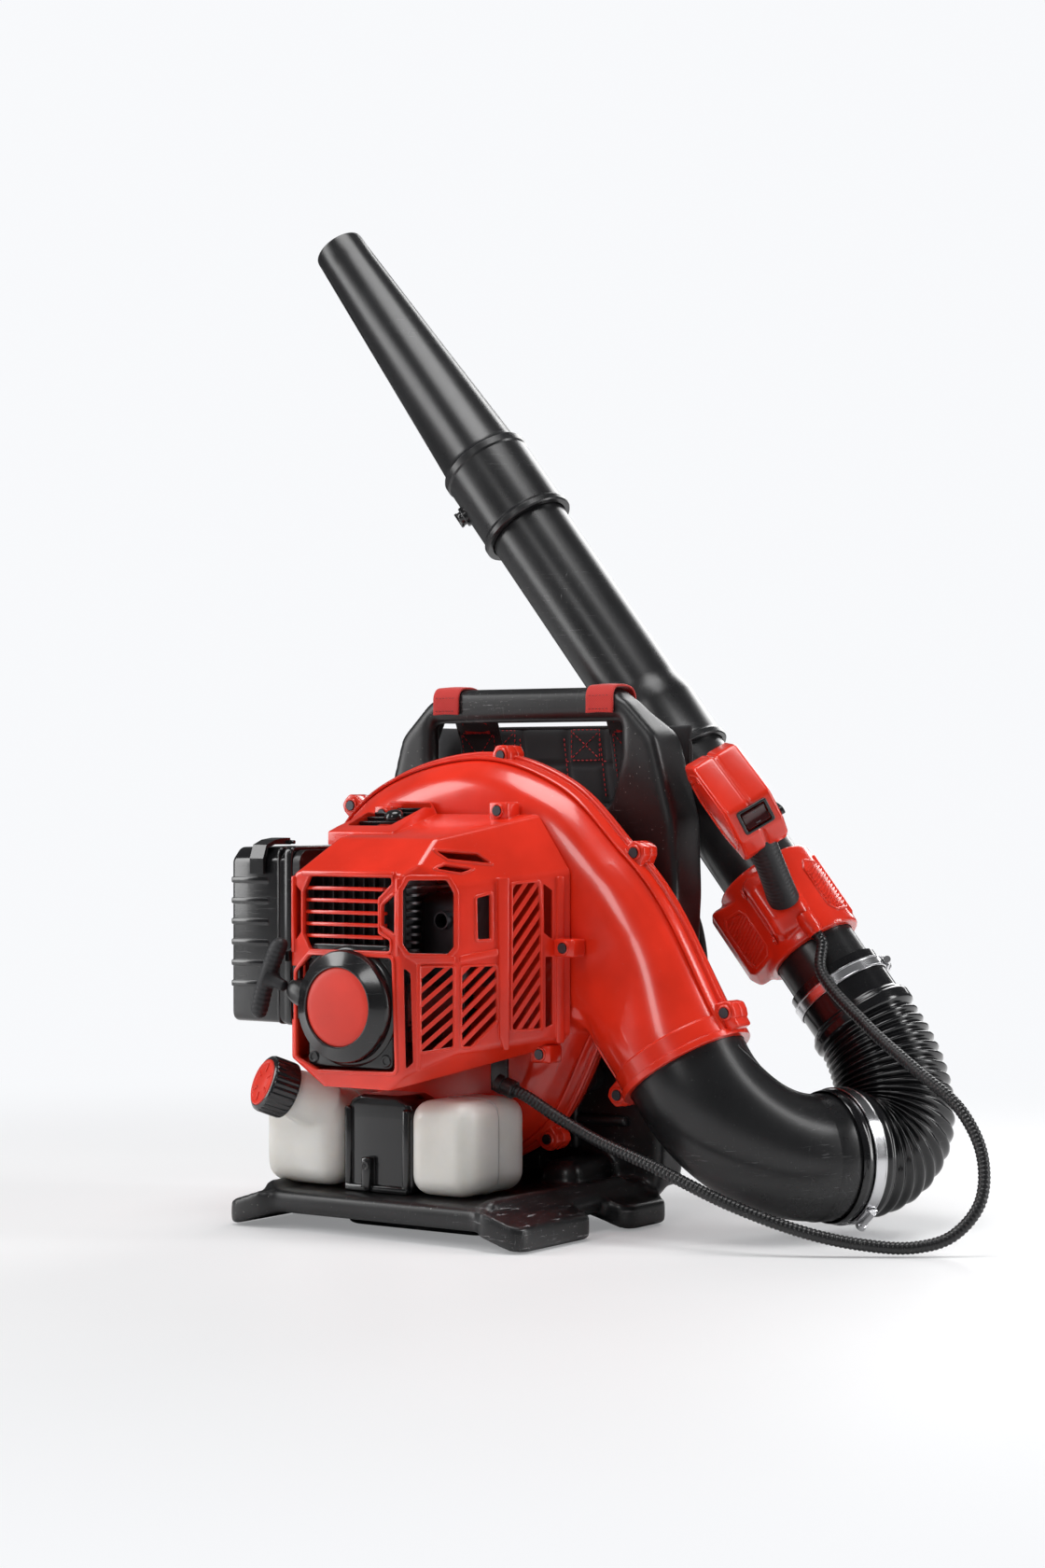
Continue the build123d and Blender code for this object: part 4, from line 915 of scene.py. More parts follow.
def boss(x, z, side):
    """Screw boss pointing away from the rim, with a well in its face."""
    away = np.array([x, z]) - RIM[int(np.linalg.norm(RIM - np.array([x, z]), axis=1).argmin())]
    if np.linalg.norm(away) <= 2:
        away = np.array([x, z]) - FAN
    angle = math.atan2(away[1], away[0])
    c, s = math.cos(angle), math.sin(angle)
    outline = fillet_poly([(x + c * a - s * b, z + s * a + c * b) for a, b in (
        (-15, -11), (3, -10), (9, -6.5), (9.8, 0), (9, 6.5), (3, 10), (-15, 11))], 4, 4)
    depth = 11.5
    return [
        plate(outline, depth, 1.4, on_xz(SPLIT_Y + side * depth / 2), res=2),
        lathe((x, SPLIT_Y + side * depth, z), (0, 1, 0),
              [(0.8 * side, 7.2), (1.6 * side, 6.4), (1.6 * side, 5.0), (0.2 * side, 4.7)], 32)]


def half_collar(side):
    """Half of the outlet collar with its end flange."""
    ob = lathe(OUTLET, OUTLET_DIR, [
        (-18, 57.5), (-18, 59.4), (-16.8, 60.6), (-2.5, 60.6), (-1.5, 63.2), (3.4, 63.2),
        (4, 62.6), (4, 56.6), (-18, 56.6)], 120, 30)
    with edited(ob.data) as bm:
        bmesh.ops.bisect_plane(bm, geom=bm.verts[:] + bm.edges[:] + bm.faces[:],
                               plane_co=Vector((0, SPLIT_Y * MM + side * 0.00015, 0)),
                               plane_no=Vector((0, -side, 0)), clear_outer=True)
    return finish(ob, 30)


BOSSES = [polar(*at) for at in (
    (126, 217), (78, 227), (35, 235), (-52, 160.5), (-118, 178), (172, 199))]
BOSSES += [(MOUTH_OUTER[0] - 2, MOUTH_OUTER[1] + 16), (MOUTH_INNER[0] - 15, MOUTH_INNER[1] + 2)]

parts = [shell(-1, 40), rim_flange(-1),
         band([(-2.0, 33.0), (-0.2, 32.0), (1.2, 33.5), (1.6, 45.8), (-2.0, 45.8)])]
for x, z in BOSSES:
    parts += boss(x, z, -1)
assemble("scroll_front", parts + [half_collar(-1)], RED, 42,
         "fan_housing_front")

parts = [shell(1, 77), rim_flange(1), half_collar(1)]
for x, z in BOSSES:
    parts += boss(x, z, 1)
parts.append(lathe((FAN_X, SPLIT_Y, FAN_Z), (0, 1, 0), [
    (36, 76.4), (42, 76.4), (46, 78.5), (47.4, 81.5), (46.2, 85), (42, 87)], 120, 40))
for k in range(10):                         # radial ribs round the eye
    angle = math.tau * k / 10 + 0.2
    c, s = math.cos(angle), math.sin(angle)
    parts.append(rbox((0, -1.2, -2.5), (40, 1.2, 2.5), 0.9, 2, matrix_of(
        (FAN_X + 88 * c, 94.6, FAN_Z + 88 * s), (c, 0, s), (-s, 0, c), (0, -1, 0))))
assemble("scroll_rear", parts, RED, 42, "fan_housing_rear")

# blocks either side of the outlet
parts = []
for sign in (1, -1):
    centre = OUTLET + OUTLET_ACROSS * 66 * sign + OUTLET_DIR * -6
    parts.append(rbox((-9, -12, -6), (8, 12, 6), 2.4, 3, matrix_of(
        centre, OUTLET_DIR, (0, 1, 0), np.cross(OUTLET_DIR, (0, 1, 0)))))
assemble("outlet_lugs", parts, RED, 40)

# ---- engine cover: a box cut by planes (point, outward normal), open towards +Y
UPPER_PLANE = ((75, -99, 311), (3043, -1735, 2085))
CORNER_NORMAL, SIDE_NORMAL = (31, -36, 0), (87, -43, 0)
COVER = [((0, -130, 321), (0, -31, 35)), ((0, -95, 352), (0, -20, 95)),
         ((39, -130, 0), CORNER_NORMAL), ((75, -99, 0), SIDE_NORMAL),
         ((-86, 0, 0), (-1, 0, 0)), ((-84, 0, 154), (-23, 0, -36)),
         ((0, -130, 131), (0, 29, -110)), ((75, -99, 165), (0.62, -0.22, -0.75)), UPPER_PLANE,
         ((-86, 0, 335), (-0.75, -0.1, 0.65))]
cover = halfspaces((-86, -130, 90), (150, 3, 420), COVER, 4.2, 4, (0, 1, 0), 30)
wall = cover.modifiers.new("wall", "SOLIDIFY")
wall.thickness = 2.6 * MM
wall.offset = -1
apply_mods(cover)


def face_frame(point, normal):
    """A face's origin, sideways, upward and outward directions."""
    normal = unit(normal)
    x = unit(np.cross((0.0, 0, 1), normal))
    return np.array(point, float), x, np.cross(normal, x), normal


def to2(face, pts):
    origin, x, y, _ = face
    return ccw([np.array([(np.array(p, float) - origin) @ x, (np.array(p, float) - origin) @ y])
                for p in pts])


def to3(face, pts):
    origin, x, y, _ = face
    return [origin + x * p[0] + y * p[1] for p in pts]


FRONT = face_frame((0, -130, 0), TO_FRONT)
CORNER = face_frame((39, -130, 240), CORNER_NORMAL)     # between the front and the +X side
SIDE = face_frame((75, -99, 240), SIDE_NORMAL)
UPPER = face_frame(*UPPER_PLANE)                        # slope over the corner


def on_front(*pts):
    return [(x, -130, z) for x, z in pts]


GRILLE = on_front((-63, 318), (28, 318), (28, 313), (13, 300), (13, 269), (26, 263), (26, 254),
                  (-63, 253.5), (-70, 267), (-70, 305))
HEX_RIGHT = on_front((17.5, 294), (30.8, 304), (30.8, 269), (17.5, 276))
HEX_LEFT = on_front((-80.8, 311), (-74.0, 304.5), (-74.0, 268), (-80.8, 260))
STARTER_HOLE = on_front((-63, 248), (28, 248), (31.7, 149), (-54, 147), (-78, 157), (-78, 233))
OCTAGON = [(39.7, -129.4, 307), (43.7, -125.9, 316), (68.4, -104.7, 316),
           (73.0, -100.7, 304.7), (73.0, -100.7, 258), (69.3, -103.9, 252),
           (43.7, -125.9, 252.7), (39.7, -129.4, 260.8)]
CORNER_SLOT = [(40.2, -129, 240), (44.6, -125.2, 235), (46.4, -123.7, 157.5),
               (41.6, -127.8, 151.7)]
SMALL = [(84, -80.7, 300), (89.9, -68.9, 303), (89.9, -68.9, 264.4), (84.4, -80, 264.2)]
LOUVRE_CORNER = [(52.0, -118.8, 240), (72.5, -101.2, 240), (72.5, -101.2, 171),
                 (52.0, -118.8, 167)]
LOUVRE_SIDE = [(77.5, -94, 240), (92.5, -63.6, 240), (92.5, -63.6, 192), (81.5, -85.8, 171),
               (77.5, -94, 171)]
TALL = [(99.7, -49.1, 311), (111.0, -26.2, 313), (111.9, -24.5, 287), (112.1, -24, 184),
        (99.7, -49.1, 184)]
SLOT_HIGH = [(113.4, -21.3, 312), (117.5, -13, 305.5), (117.5, -13, 262), (113.8, -20.5, 268)]
SLOT_LOW = [(114.4, -19.3, 247), (117.6, -12.9, 247), (117.6, -12.9, 187), (114.4, -19.3, 184)]
VENT_HIGH = [(53.4, -100, 341.7), (74.3, -67, 338.5), (83.8, -60.4, 330.3), (61.8, -93.8, 334.6)]
VENT_LOW = [(59.4, -108, 326), (62.6, -98.7, 329.4), (76.7, -78.5, 325.7), (72.8, -89, 322.6)]


def window(face, poly, radius, reach=9):
    return prism(to3(face, fillet_poly(to2(face, poly), radius, 3)), face[3], reach, reach)


def louvres(face, poly, degrees, pitch, width):
    return [prism(to3(face, q), face[3], 6, 7)
            for q in stripes(to2(face, poly), degrees, pitch, width)]


def side_opening(z0, z1, y0, y1):
    """Through the -X side."""
    return [prism([(-92, y0, z0), (-60, y0, z0), (-60, y0, z1), (-92, y0, z1)], (0, 1, 0),
                  y1 - y0, 0)]


carve(cover, [
    [window(FRONT, GRILLE, 3), window(FRONT, HEX_RIGHT, 1.5), window(FRONT, HEX_LEFT, 1.2),
     window(FRONT, STARTER_HOLE, 5)],
    [window(CORNER, OCTAGON, 3), window(CORNER, CORNER_SLOT, 1.2),
     *louvres(CORNER, LOUVRE_CORNER, 41, 9.4, 5.4)],
    [window(SIDE, SMALL, 1.5), window(SIDE, SLOT_HIGH, 1.0), window(SIDE, SLOT_LOW, 1.0),
     *louvres(SIDE, LOUVRE_SIDE, 41, 9.4, 5.4), *louvres(SIDE, TALL, 52, 9.2, 5.0)],
    [window(UPPER, VENT_HIGH, 1.0, 8), window(UPPER, VENT_LOW, 1.0, 8)],
    side_opening(190, 238, -136, -112),
    side_opening(231, 289, -75, 9),
    [prism([(-92, -104, z), (-92, -82, z - 6), (-92, -82, z - 1), (-92, -104, z + 5)],
           (1, 0, 0), 12, 0) for z in range(306, 252, -9)]])


def raised(face, outline, proud, bevel, holes=(), res=3, sink=1.5):
    """Plate standing proud of a face and sunk a little into it."""
    origin, x, y, normal = face
    at = matrix_of(origin + normal * ((proud - sink) / 2), x, y, normal)
    return plate(outline, proud + sink, bevel, at, holes, res)


def ring(face, poly, width, proud, radius):
    """A raised frame round a window."""
    base = to2(face, poly)
    return raised(face, fillet_poly(grow(base, width), radius + 2, 3), proud, 0.7,
                  [fillet_poly(grow(base, 0.3), radius, 3)], 2)


parts = [cover]
for spec in (                               # face, window, frame width, height, corner radius
        (CORNER, OCTAGON, 4.6, 1.9, 3), (SIDE, SMALL, 2.8, 1.2, 1.5),
        (SIDE, TALL, 2.6, 1.6, 2.5), (CORNER, LOUVRE_CORNER, 2.4, 1.2, 2.5),
        (SIDE, LOUVRE_SIDE, 2.4, 1.2, 2.5), (FRONT, STARTER_HOLE, 3.6, 1.6, 5),
        (UPPER, VENT_HIGH, 2.4, 1.0, 1.2), (UPPER, VENT_LOW, 2.0, 1.0, 1.2),
        (FRONT, GRILLE, 2.6, 1.6, 3), (FRONT, HEX_RIGHT, 2.2, 1.3, 2)):
    parts.append(ring(*spec))
for face, proud, poly in (                  # raised bars
        (SIDE, 3.0, [(92.6, -63.4, 318), (97.6, -53.3, 318), (97.6, -53.3, 166),
                     (95.6, -57.3, 166), (93.6, -61.4, 178)]),
        (SIDE, 2.2, [(76.2, -96.6, 250), (93, -62.6, 256), (93, -62.6, 249),
                     (76.2, -96.6, 243.5)]),
        (CORNER, 2.2, [(41, -127.7, 250), (74.2, -99.7, 250), (74.2, -99.7, 243.5),
                       (48, -121.6, 243.5)]),
        (CORNER, 2.0, [(48.2, -121.4, 246), (51.0, -119.0, 246), (51.0, -119.0, 150),
                       (48.2, -121.4, 150)]),
        (SIDE, 2.0, [(119.2, -9.6, 318), (122.6, -2.9, 318), (122.6, -2.9, 170),
                     (119.2, -9.6, 170)])):
    parts.append(raised(face, fillet_poly(to2(face, poly), 2, 3), proud, 1.0))
# ledge over the grille and a rib down each side of it
parts.append(rbox((-72, -133.4, 318.6), (31, -126, 323.4), 1.6))
parts += [rbox((x, -132.2, 250), (x + 3.6, -126, 318), 1.3, 2) for x in (-84.0, 32.5)]

# scoop on top, with a well in its sloping face
SCOOP_Y, SCOOP_Z, SCOOP_SLOPE = -66, 361, 0.34
SCOOP_NORMAL = unit((0, -SCOOP_SLOPE, 1))
SCOOP_WELL = fillet_poly([(-76, -62), (-27, -62), (-24, -1), (-80, -1)], 4, 4)


def on_scoop(x, y, lift=0.0):
    return np.array([x, y, SCOOP_Z + (y - SCOOP_Y) * SCOOP_SLOPE]) + SCOOP_NORMAL * lift


def scoop_plane(*at):
    return matrix_of(on_scoop(*at), (1, 0, 0), np.cross(SCOOP_NORMAL, (1, 0, 0)), SCOOP_NORMAL)


scoop = halfspaces((-85, -78, 345), (-12, 2.4, 392), [
    ((0, SCOOP_Y, SCOOP_Z), SCOOP_NORMAL), ((0, -78, 356), (0, -1, 0.9)),
    ((-85, 0, 362), (-1, 0, 0.55)), ((-12, 0, 358), (1, 0, 0.6))], 2.2, 3, sharp=30)
boolean(scoop, cutter([prism([on_scoop(*p) for p in SCOOP_WELL], SCOOP_NORMAL, 12, 9)]))
parts.append(scoop)
for x, z in ((-70, 372), (60, 376), (131, 255), (106, 160)):    # feet with screw wells
    parts.append(rbox((x - 10.5, -16, z - 8), (x + 10.5, 4.4, z + 8), 2.2))
    parts.append(lathe((x, -16, z), TO_FRONT, [(0, 6.6), (1.6, 6.2), (1.8, 5.0), (0.2, 4.6)], 32))
assemble("engine_cover_body", parts, RED, 30, "engine_cover")

# floor of the scoop's well, five fins and a dome
parts = [plate([(p[0], p[1] * 1.056) for p in SCOOP_WELL], 1.6, 0.3, scoop_plane(0, 0, -8.4),
               res=1)]
parts += [rbox((-77, -1.2, 0), (-26, 1.2, 5.2), 0.8, 2, scoop_plane(0, -54 + k * 11.5, -8.2))
          for k in range(5)]
parts.append(lathe(on_scoop(-47, -30, -8), SCOOP_NORMAL,
                   [(0, 9), (6, 9), (9, 7.5), (10.6, 4.5), (11, 0)], 40, 50))
assemble("cover_scoop_well", parts, GLOSS, 40)

# grille slats, and their dark backing with upright vanes
SLATS_Z, SLAT_PITCH = 263.5, 10.6
parts = []
for k in range(5):
    z = SLATS_Z + k * SLAT_PITCH
    parts.append(rbox((-72, -127.2, z), (15.5, -119.5, z + 3.4), 1.1, 2))
assemble("grille_slats", parts, RED, 40)
parts = [rbox((-79, -113.5, 252), (30, -111.5, 322), 0.8, 2)]
parts += [rbox((-70 + k * 11.5, -119, 256), (-68.4 + k * 11.5, -113, 319), 0.5, 2)
          for k in range(8)]
assemble("grille_backing", parts, RUBBER, 40)

# ---- recoil starter
outline = [(FAN_X + x, FAN_Z + z) for x, z in (
    (-47.5, -55), (47.5, -55), (47.5, 50), (42, 55), (-42, 55), (-47.5, 50))]
parts = [
    plate(fillet_poly(outline, 7), 23.6, 2.4, on_xz(-114)),
    lathe(FAN_AXIS, TO_FRONT, [
        (124, 53.5), (127.5, 53.5), (129, 52), (130, 50.2), (136.6, 49.6), (138.4, 48.6),
        (143.9, 37.6), (144.9, 36.2), (144.8, 35.2), (143.6, 34.7), (142.4, 34.7)], 128, 28)]
for sx, sz in ((1, 1), (-1, 1), (-1, -1), (1, -1)):             # corner screws
    parts.append(lathe((FAN_X + 40.5 * sx, -125.4, FAN_Z + 46.5 * sz), TO_FRONT, [
        (0, 5.4), (1.2, 5.4), (1.8, 4.8), (1.8, 3.0), (0.9, 2.8), (0.9, 0)], 24))
assemble("starter_body", parts, GLOSS, 32, "starter_housing")
ROPE_EXIT, ROPE_DIR = np.array([-66, -134, 210.0]), unit((-0.93, 0, 0.37))
assemble("starter_rope_guide", [lathe(ROPE_EXIT + np.array([0, 8.0, 0]), ROPE_DIR, [
    (-18, 9), (-16, 12.5), (4, 13), (14, 12), (20, 10.2), (22, 8.8), (22.6, 7.2), (21, 5.2),
    (14, 4.6)], 56, 40)], BLACK, 40)
register(lathe(FAN_AXIS, TO_FRONT, [
    (142.4, 35.2), (143.1, 34.6), (143.5, 33.6), (143.9, 28), (144.2, 14), (144.3, 0)],
    128, 40, mat=RED_SATIN, name="starter_disc"))


# pull grip: a ribbed, waisted T-bar with its neck
def pull_bar(rows=72, seg=36):
    centre = ROPE_EXIT + ROPE_DIR * 46.5
    long_axis = unit((-0.37, 0, -0.93))
    depth_axis = np.array([0.0, 1, 0])
    verts = []
    for i in range(rows):
        u = -1 + 2 * i / (rows - 1)
        along = u * 39.0
        end = max(math.sqrt(max(0.0, 1 - abs(u) ** 9)), 0.04)
        width, depth = (6.9 + 1.0 * u * u) * end, 8.0 * end
        rib = 0.0
        if 9 < abs(along) < 33:
            rib = 0.55 * (0.5 + 0.5 * math.cos(along * math.tau / 4.6))
        for k in range(seg):
            angle = math.tau * k / seg
            c, s = squircle(angle, 2.6)
            off = -rib if math.cos(angle) < 0.55 else 0.0
            verts.append(centre + long_axis * along
                         + ROPE_DIR * (c * (width + off) - 3.2 * u * u)
                         + depth_axis * (s * (depth + off)))
    return recalc(mesh(verts, skin_faces(rows, seg)))


neck = lathe(ROPE_EXIT, ROPE_DIR, [
    (25.2, 0), (25.2, 4.4), (26.4, 5.2), (33, 5.4), (38, 7.0), (43, 10.5)], 40, 50)
assemble("pull_grip", [pull_bar(), neck], GRIP, 60, "starter_handle",
         "pull_handle")

# ---- tubes: name, CAD piece, seam (from, to, radius at each end), profile
TUBES = [
    ("swivel_tube_body", "swivel_tube", (24, 294, 40, 40),
     [(8, 38), (8, 39.2), (9, 40), (14, 40), (15, 41.6), (18, 41.6), (19, 40), (60, 40),
      (326, 40), (329.4, 39.6), (330, 38.6), (330, 37), (8, 37)]),
    ("middle_tube_body", "middle_tube", (376, 588, 40, 40),
     [(297, 40.3), (296, 41.4), (296, 44.6), (297, 45.6), (302, 45.6), (303.2, 44.4),
      (306, 43.6), (352, 43.6), (358, 43.4), (368, 41.6), (374, 40.4), (380, 40), (633, 40),
      (634, 39), (634, 37), (297, 37)]),
    ("nozzle_body", "nozzle", (684, 966, 40.0, 26.2),
     [(590, 40.4), (589, 41.4), (589, 46.2), (590.2, 47.4), (595, 47.4), (596.6, 46.0),
      (599, 44.6), (668, 44.4), (670, 45.6), (676.5, 45.6), (678.5, 44.4), (680, 42.0),
      (684, 40.0), (942, 26.4), (952, 26.2), (969.5, 26.2), (972, 25.8), (972, 24.2),
      (955, 23.6), (700, 36.5), (640, 37.0), (590, 37.0)])]
for name, replaces, (start, end, r_start, r_end), profile in TUBES:
    parts = [lathe(TUBE, TUBE_DIR, profile, 128, 30, HANDLE_OUT)]
    for side in (1, -1):
        parts.append(sweep([
            TUBE + TUBE_DIR * (start + (end - start) * t)
            + HANDLE_SIDE * side * (r_start + (r_end - r_start) * t - 0.15)
            for t in np.linspace(0, 1, 40)], 0.55, 8))
    assemble(name, parts, SATIN, 30, replaces, "blower_tube")

# a knob with a bar across it on the nozzle
KNOB_AT = TUBE + TUBE_DIR * 640
knob_dir = -HANDLE_SIDE * 0.55 - HANDLE_OUT * 0.2 + np.array([-0.85, -0.45, 0])
knob_dir = unit(knob_dir - TUBE_DIR * (knob_dir @ TUBE_DIR))
assemble("nozzle_lock", [
    lathe(KNOB_AT, knob_dir, [(42, 10.5), (46.5, 10.5), (47.6, 9.6), (47.6, 7.4), (50.4, 7.2),
                              (51.4, 6.4), (51.4, 0)], 40, 35, TUBE_DIR),
    rbox((-8.2, -1.9, 0), (8.2, 1.9, 3.2), 0.7, 2,
         matrix_of(KNOB_AT + knob_dir * 50.6, *basis(knob_dir, TUBE_DIR)))],
    GLOSS, 35, body="blower_tube")

# ---- elbow: two straight legs and an arc between them
BEND, ELBOW_R = 108, 56.0
KNEE = ELBOW_END - ELBOW_DIR * ((ELBOW_END[1] - OUTLET[1]) / ELBOW_DIR[1])
entry_dir = unit(KNEE - OUTLET)
turn_cos = float(entry_dir @ ELBOW_DIR)
turn = math.acos(turn_cos)
leg = BEND * math.tan(turn / 2)
arc_start, arc_end = KNEE - entry_dir * leg, KNEE + ELBOW_DIR * leg
arc_centre = arc_start + unit(ELBOW_DIR - entry_dir * turn_cos) * BEND
arc = [arc_centre + around(arc_start - arc_centre, entry_dir * BEND, turn * k / 40)
       for k in range(41)]
path = resample(np.vstack([
    np.linspace(OUTLET + entry_dir * 2, arc_start, 12)[:-1], arc,
    np.linspace(arc_end, ELBOW_END + ELBOW_DIR * 18, 24)[1:]]), 2.5)
up = np.array([0, 0, 1.0])
seam = [p + unit(up - t * (up @ t)) * ELBOW_R
        for p, t in list(zip(path, tangents(path)))[4:-12]]
elbow = join("elbow_body", [
    sweep(path, ELBOW_R, 96, cap=False),
    lathe(OUTLET, OUTLET_DIR, [(-14, 54), (-14, 55.8), (6, 56.2), (10, 56.2)], 96, 40),
    lathe(ELBOW_END, ELBOW_DIR, [(-34, 55.6), (-30, 56.6), (-14, 56.6), (18, 56.0), (18, 53)],
          96, 40),
    sweep(seam, 0.6, 8)], SATIN)
register(finish(recalc(elbow), 40), "elbow")

# ---- corrugated hose, with a smooth cuff at each end
hose_start, hose_end = ELBOW_END + ELBOW_DIR * 22, TUBE - TUBE_DIR * 8
hose_path = resample(np.vstack([
    np.linspace(ELBOW_END - ELBOW_DIR * 13, hose_start, 40)[:-1],
    bezier([hose_start, hose_start + ELBOW_DIR * 52, TUBE - TUBE_DIR * 88, hose_end], 400),
    np.linspace(hose_end, TUBE + TUBE_DIR * 40, 50)[1:]]), 1.05)
hose_dist = arc_length(hose_path)
RIBS_START, RIBS_END, RIB_COUNT = 35.0, hose_dist[-1] - 56.0, 19


def hose_radius(s):
    if s < RIBS_START - 2:
        if s <= 1.0:
            return 58.6
        return 59.4 + (0.5 if 4 < s < 8 or 28 < s < 32 else 0)
    if s < RIBS_END:
        u = (s - RIBS_START) / (RIBS_END - RIBS_START)
        wave = abs(math.cos(math.pi * ((u * RIB_COUNT) % 1.0))) ** 1.5
        return (55.5 * (1 - u) + 46.2 * u
                + 3.4 * (2 * wave - 1) * (0.75 + 0.25 * math.sin(math.pi * u)))
    past = s - RIBS_END
    if 10 < past < 14:
        return 48.0
    return 50.6 if past < 12 else 44.8


radii = np.pad([hose_radius(s) for s in hose_dist], 1, mode="edge")
hose = sweep(hose_path, np.convolve(radii, [0.2, 0.6, 0.2], "valid"), 128, cap=False,
             pinch=True, mat=HOSE, name="flex_hose_body")
finish(recalc(hose))
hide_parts("flex_hose")
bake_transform(hose)


def worm_clamp(name, centre, axis, radius, width, start, toward, body, replaces):
    """Steel band with its worm housing on the side that faces toward."""
    end = start + width
    parts = [lathe(centre, axis, [
        (start, radius), (start + 0.3, radius + 1.1), (start + 1.4, radius + 1.1),
        (start + 1.8, radius + 0.6), (end - 1.8, radius + 0.6), (end - 1.4, radius + 1.1),
        (end - 0.3, radius + 1.1), (end, radius), (start, radius)], 144, 25)]
    toward = np.array(toward, float)
    toward = unit(toward - axis * (toward @ axis))
    tangent = unit(np.cross(axis, toward))
    middle = centre + axis * (start + width / 2)
    seat = middle + toward * (radius + 0.6)
    parts.append(rbox((-width / 2 - 0.4, -9, 0), (width / 2 + 0.4, 9, 2.6), 0.8, 2,
                      matrix_of(seat, axis, tangent, toward)))
    parts.append(lathe(seat + toward * 3.6 - tangent * 9.5, tangent, [
        (0, 0), (0, 3.4), (19, 3.4), (19, 4.4), (19.6, 4.9), (24, 4.9), (24.4, 4.5),
        (24.4, 3.4), (22.4, 3.0), (22.4, 0)], 32, 30))
    for k in range(9):                      # thread marks beside the housing
        out = around(toward, tangent, 0.30 + k * 0.052)
        parts.append(rbox((-width * 0.28, -0.5, 0), (width * 0.28, 0.5, 0.5), 0.2, 1, matrix_of(
            middle + out * (radius + 0.45), axis, unit(np.cross(axis, out)), out)))
    assemble(name, parts, STEEL, 30, replaces, body)


worm_clamp("elbow_worm_clamp", ELBOW_END, ELBOW_DIR, 60.3, 12.5, -1.8, (36.3, -16.8, -50),
           "blower", "elbow_clamp")
worm_clamp("cuff_worm_clamp", TUBE, TUBE_DIR, 45.6, 11, 20.5, HANDLE_SIDE, "hose_end",
           "cuff_clamp")

# ---- throttle conduit: ribbed, from the handle round under the elbow to the cover
CONDUIT_START = on_handle(-44.5, 50, 6)
CONDUIT_SPLIT = (477.6, 110, 81.9)
conduit_path = catmull([
    CONDUIT_START, CONDUIT_START - TUBE_DIR * 10, (283, 176, 230.9), (345, 150, 184.7),
    (400.9, 132, 151.7), (452.2, 120, 119.2), CONDUIT_SPLIT, (482.4, 95, 44.2),
    (464.7, 78, 17), (439.8, 56, 8.2), (401.5, 30, 11), (361.5, 5, 21.1), (300.6, -16, 42.3),
    (231, -25, 70.1), (175, -28, 89.2), (137, -30, 106), (100, -30, 124), (78, -31, 132)], 0.8)
conduit_dist = arc_length(conduit_path)
split = int(np.linalg.norm(conduit_path - np.array(CONDUIT_SPLIT), axis=1).argmin())


def conduit(name, part, *blend):
    radii = 4.55 + 0.95 * np.abs(np.cos(math.pi * conduit_dist[part] / 4.0)) ** 0.8
    ob = finish(recalc(sweep(conduit_path[part], radii, 20, mat=BLACK, name=name)))
    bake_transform(ob)
    return ob


conduit("throttle_conduit_upper", slice(0, split + 1), "hose_end", "blower_tube",
        (0.442, 0.098, 0.073), (0.283, 0.176, 0.231))
lower = conduit("throttle_conduit_lower", slice(split, None), "blower", "hose_end",
                (0.300, -0.016, -0.060), (0.4776, 0.110, 0.082))
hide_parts("throttle_conduit")
conduit_end = conduit_path[-1]
assemble("conduit_end_ferrule", [
    lathe(conduit_end, unit(conduit_end - conduit_path[-12]), [
        (-12, 5.6), (-12, 7.2), (-11, 8.2), (-1, 8.2), (0, 7.4), (0, 8.8), (6, 8.8), (7, 8.0),
        (7, 0)], 40, 35),
    rbox((-14, -2, -7), (4, 2, 22), 1.2, 2,
         matrix_of(conduit_end + np.array([0, 0, 2]), (1, 0, 0), (0, 1, 0), (0, 0, 1)))],
    BLACK, 35)

# ---- control handle collar: ring, wings and a boss melted together, then bored
wings = halfspaces((-44, -25, -58), (42, 37, 54), [
    ((0, 8, -58), (0, 1, -0.80)), ((0, 17, 54), (0, 1, 0.42)), ((-43, -20, 0), (-0.986, 0.168, 0)),
    ((41, -9, 0), (0.936, 0.351, 0)), ((41, -9, 0), (0.573, -0.82, 0)),
    ((-43, -18, 0), (-0.5, -0.86, 0)), ((0, -12, -58), (0, -0.6, -0.8)),
    ((0, -12, 54), (0, -0.6, 0.8)), ((-34, 0, -58), (-0.7, 0, -0.7)),
    ((-34, 0, 54), (-0.7, 0, 0.7)), ((33, 0, -58), (0.7, 0, -0.7)),
    ((33, 0, 54), (0.7, 0, 0.7))], 3.4, 4)
wings.data.transform(handle_plane(0))
collar = join("collar", [
    lathe(HANDLE, TUBE_DIR, [(-44, 41.2), (-44, 46.6), (-42.6, 48), (42.6, 48), (44, 46.6),
                             (44, 38), (-44, 38)], 120, 30, HANDLE_OUT, True),
    wings,
    plate(fillet_poly([(-38, 28), (-30, 50), (-15, 57.5), (21, 57.5), (35, 46), (37, 28)], 6),
          40, 9.0, handle_plane(-6), res=5)])
remesh(collar, 1.3, 7)
boolean(collar, lathe(HANDLE, TUBE_DIR, [(-60, 0), (-60, 40.6), (60, 40.6), (60, 0)], 96, 30,
                      HANDLE_OUT))
parts = [collar]
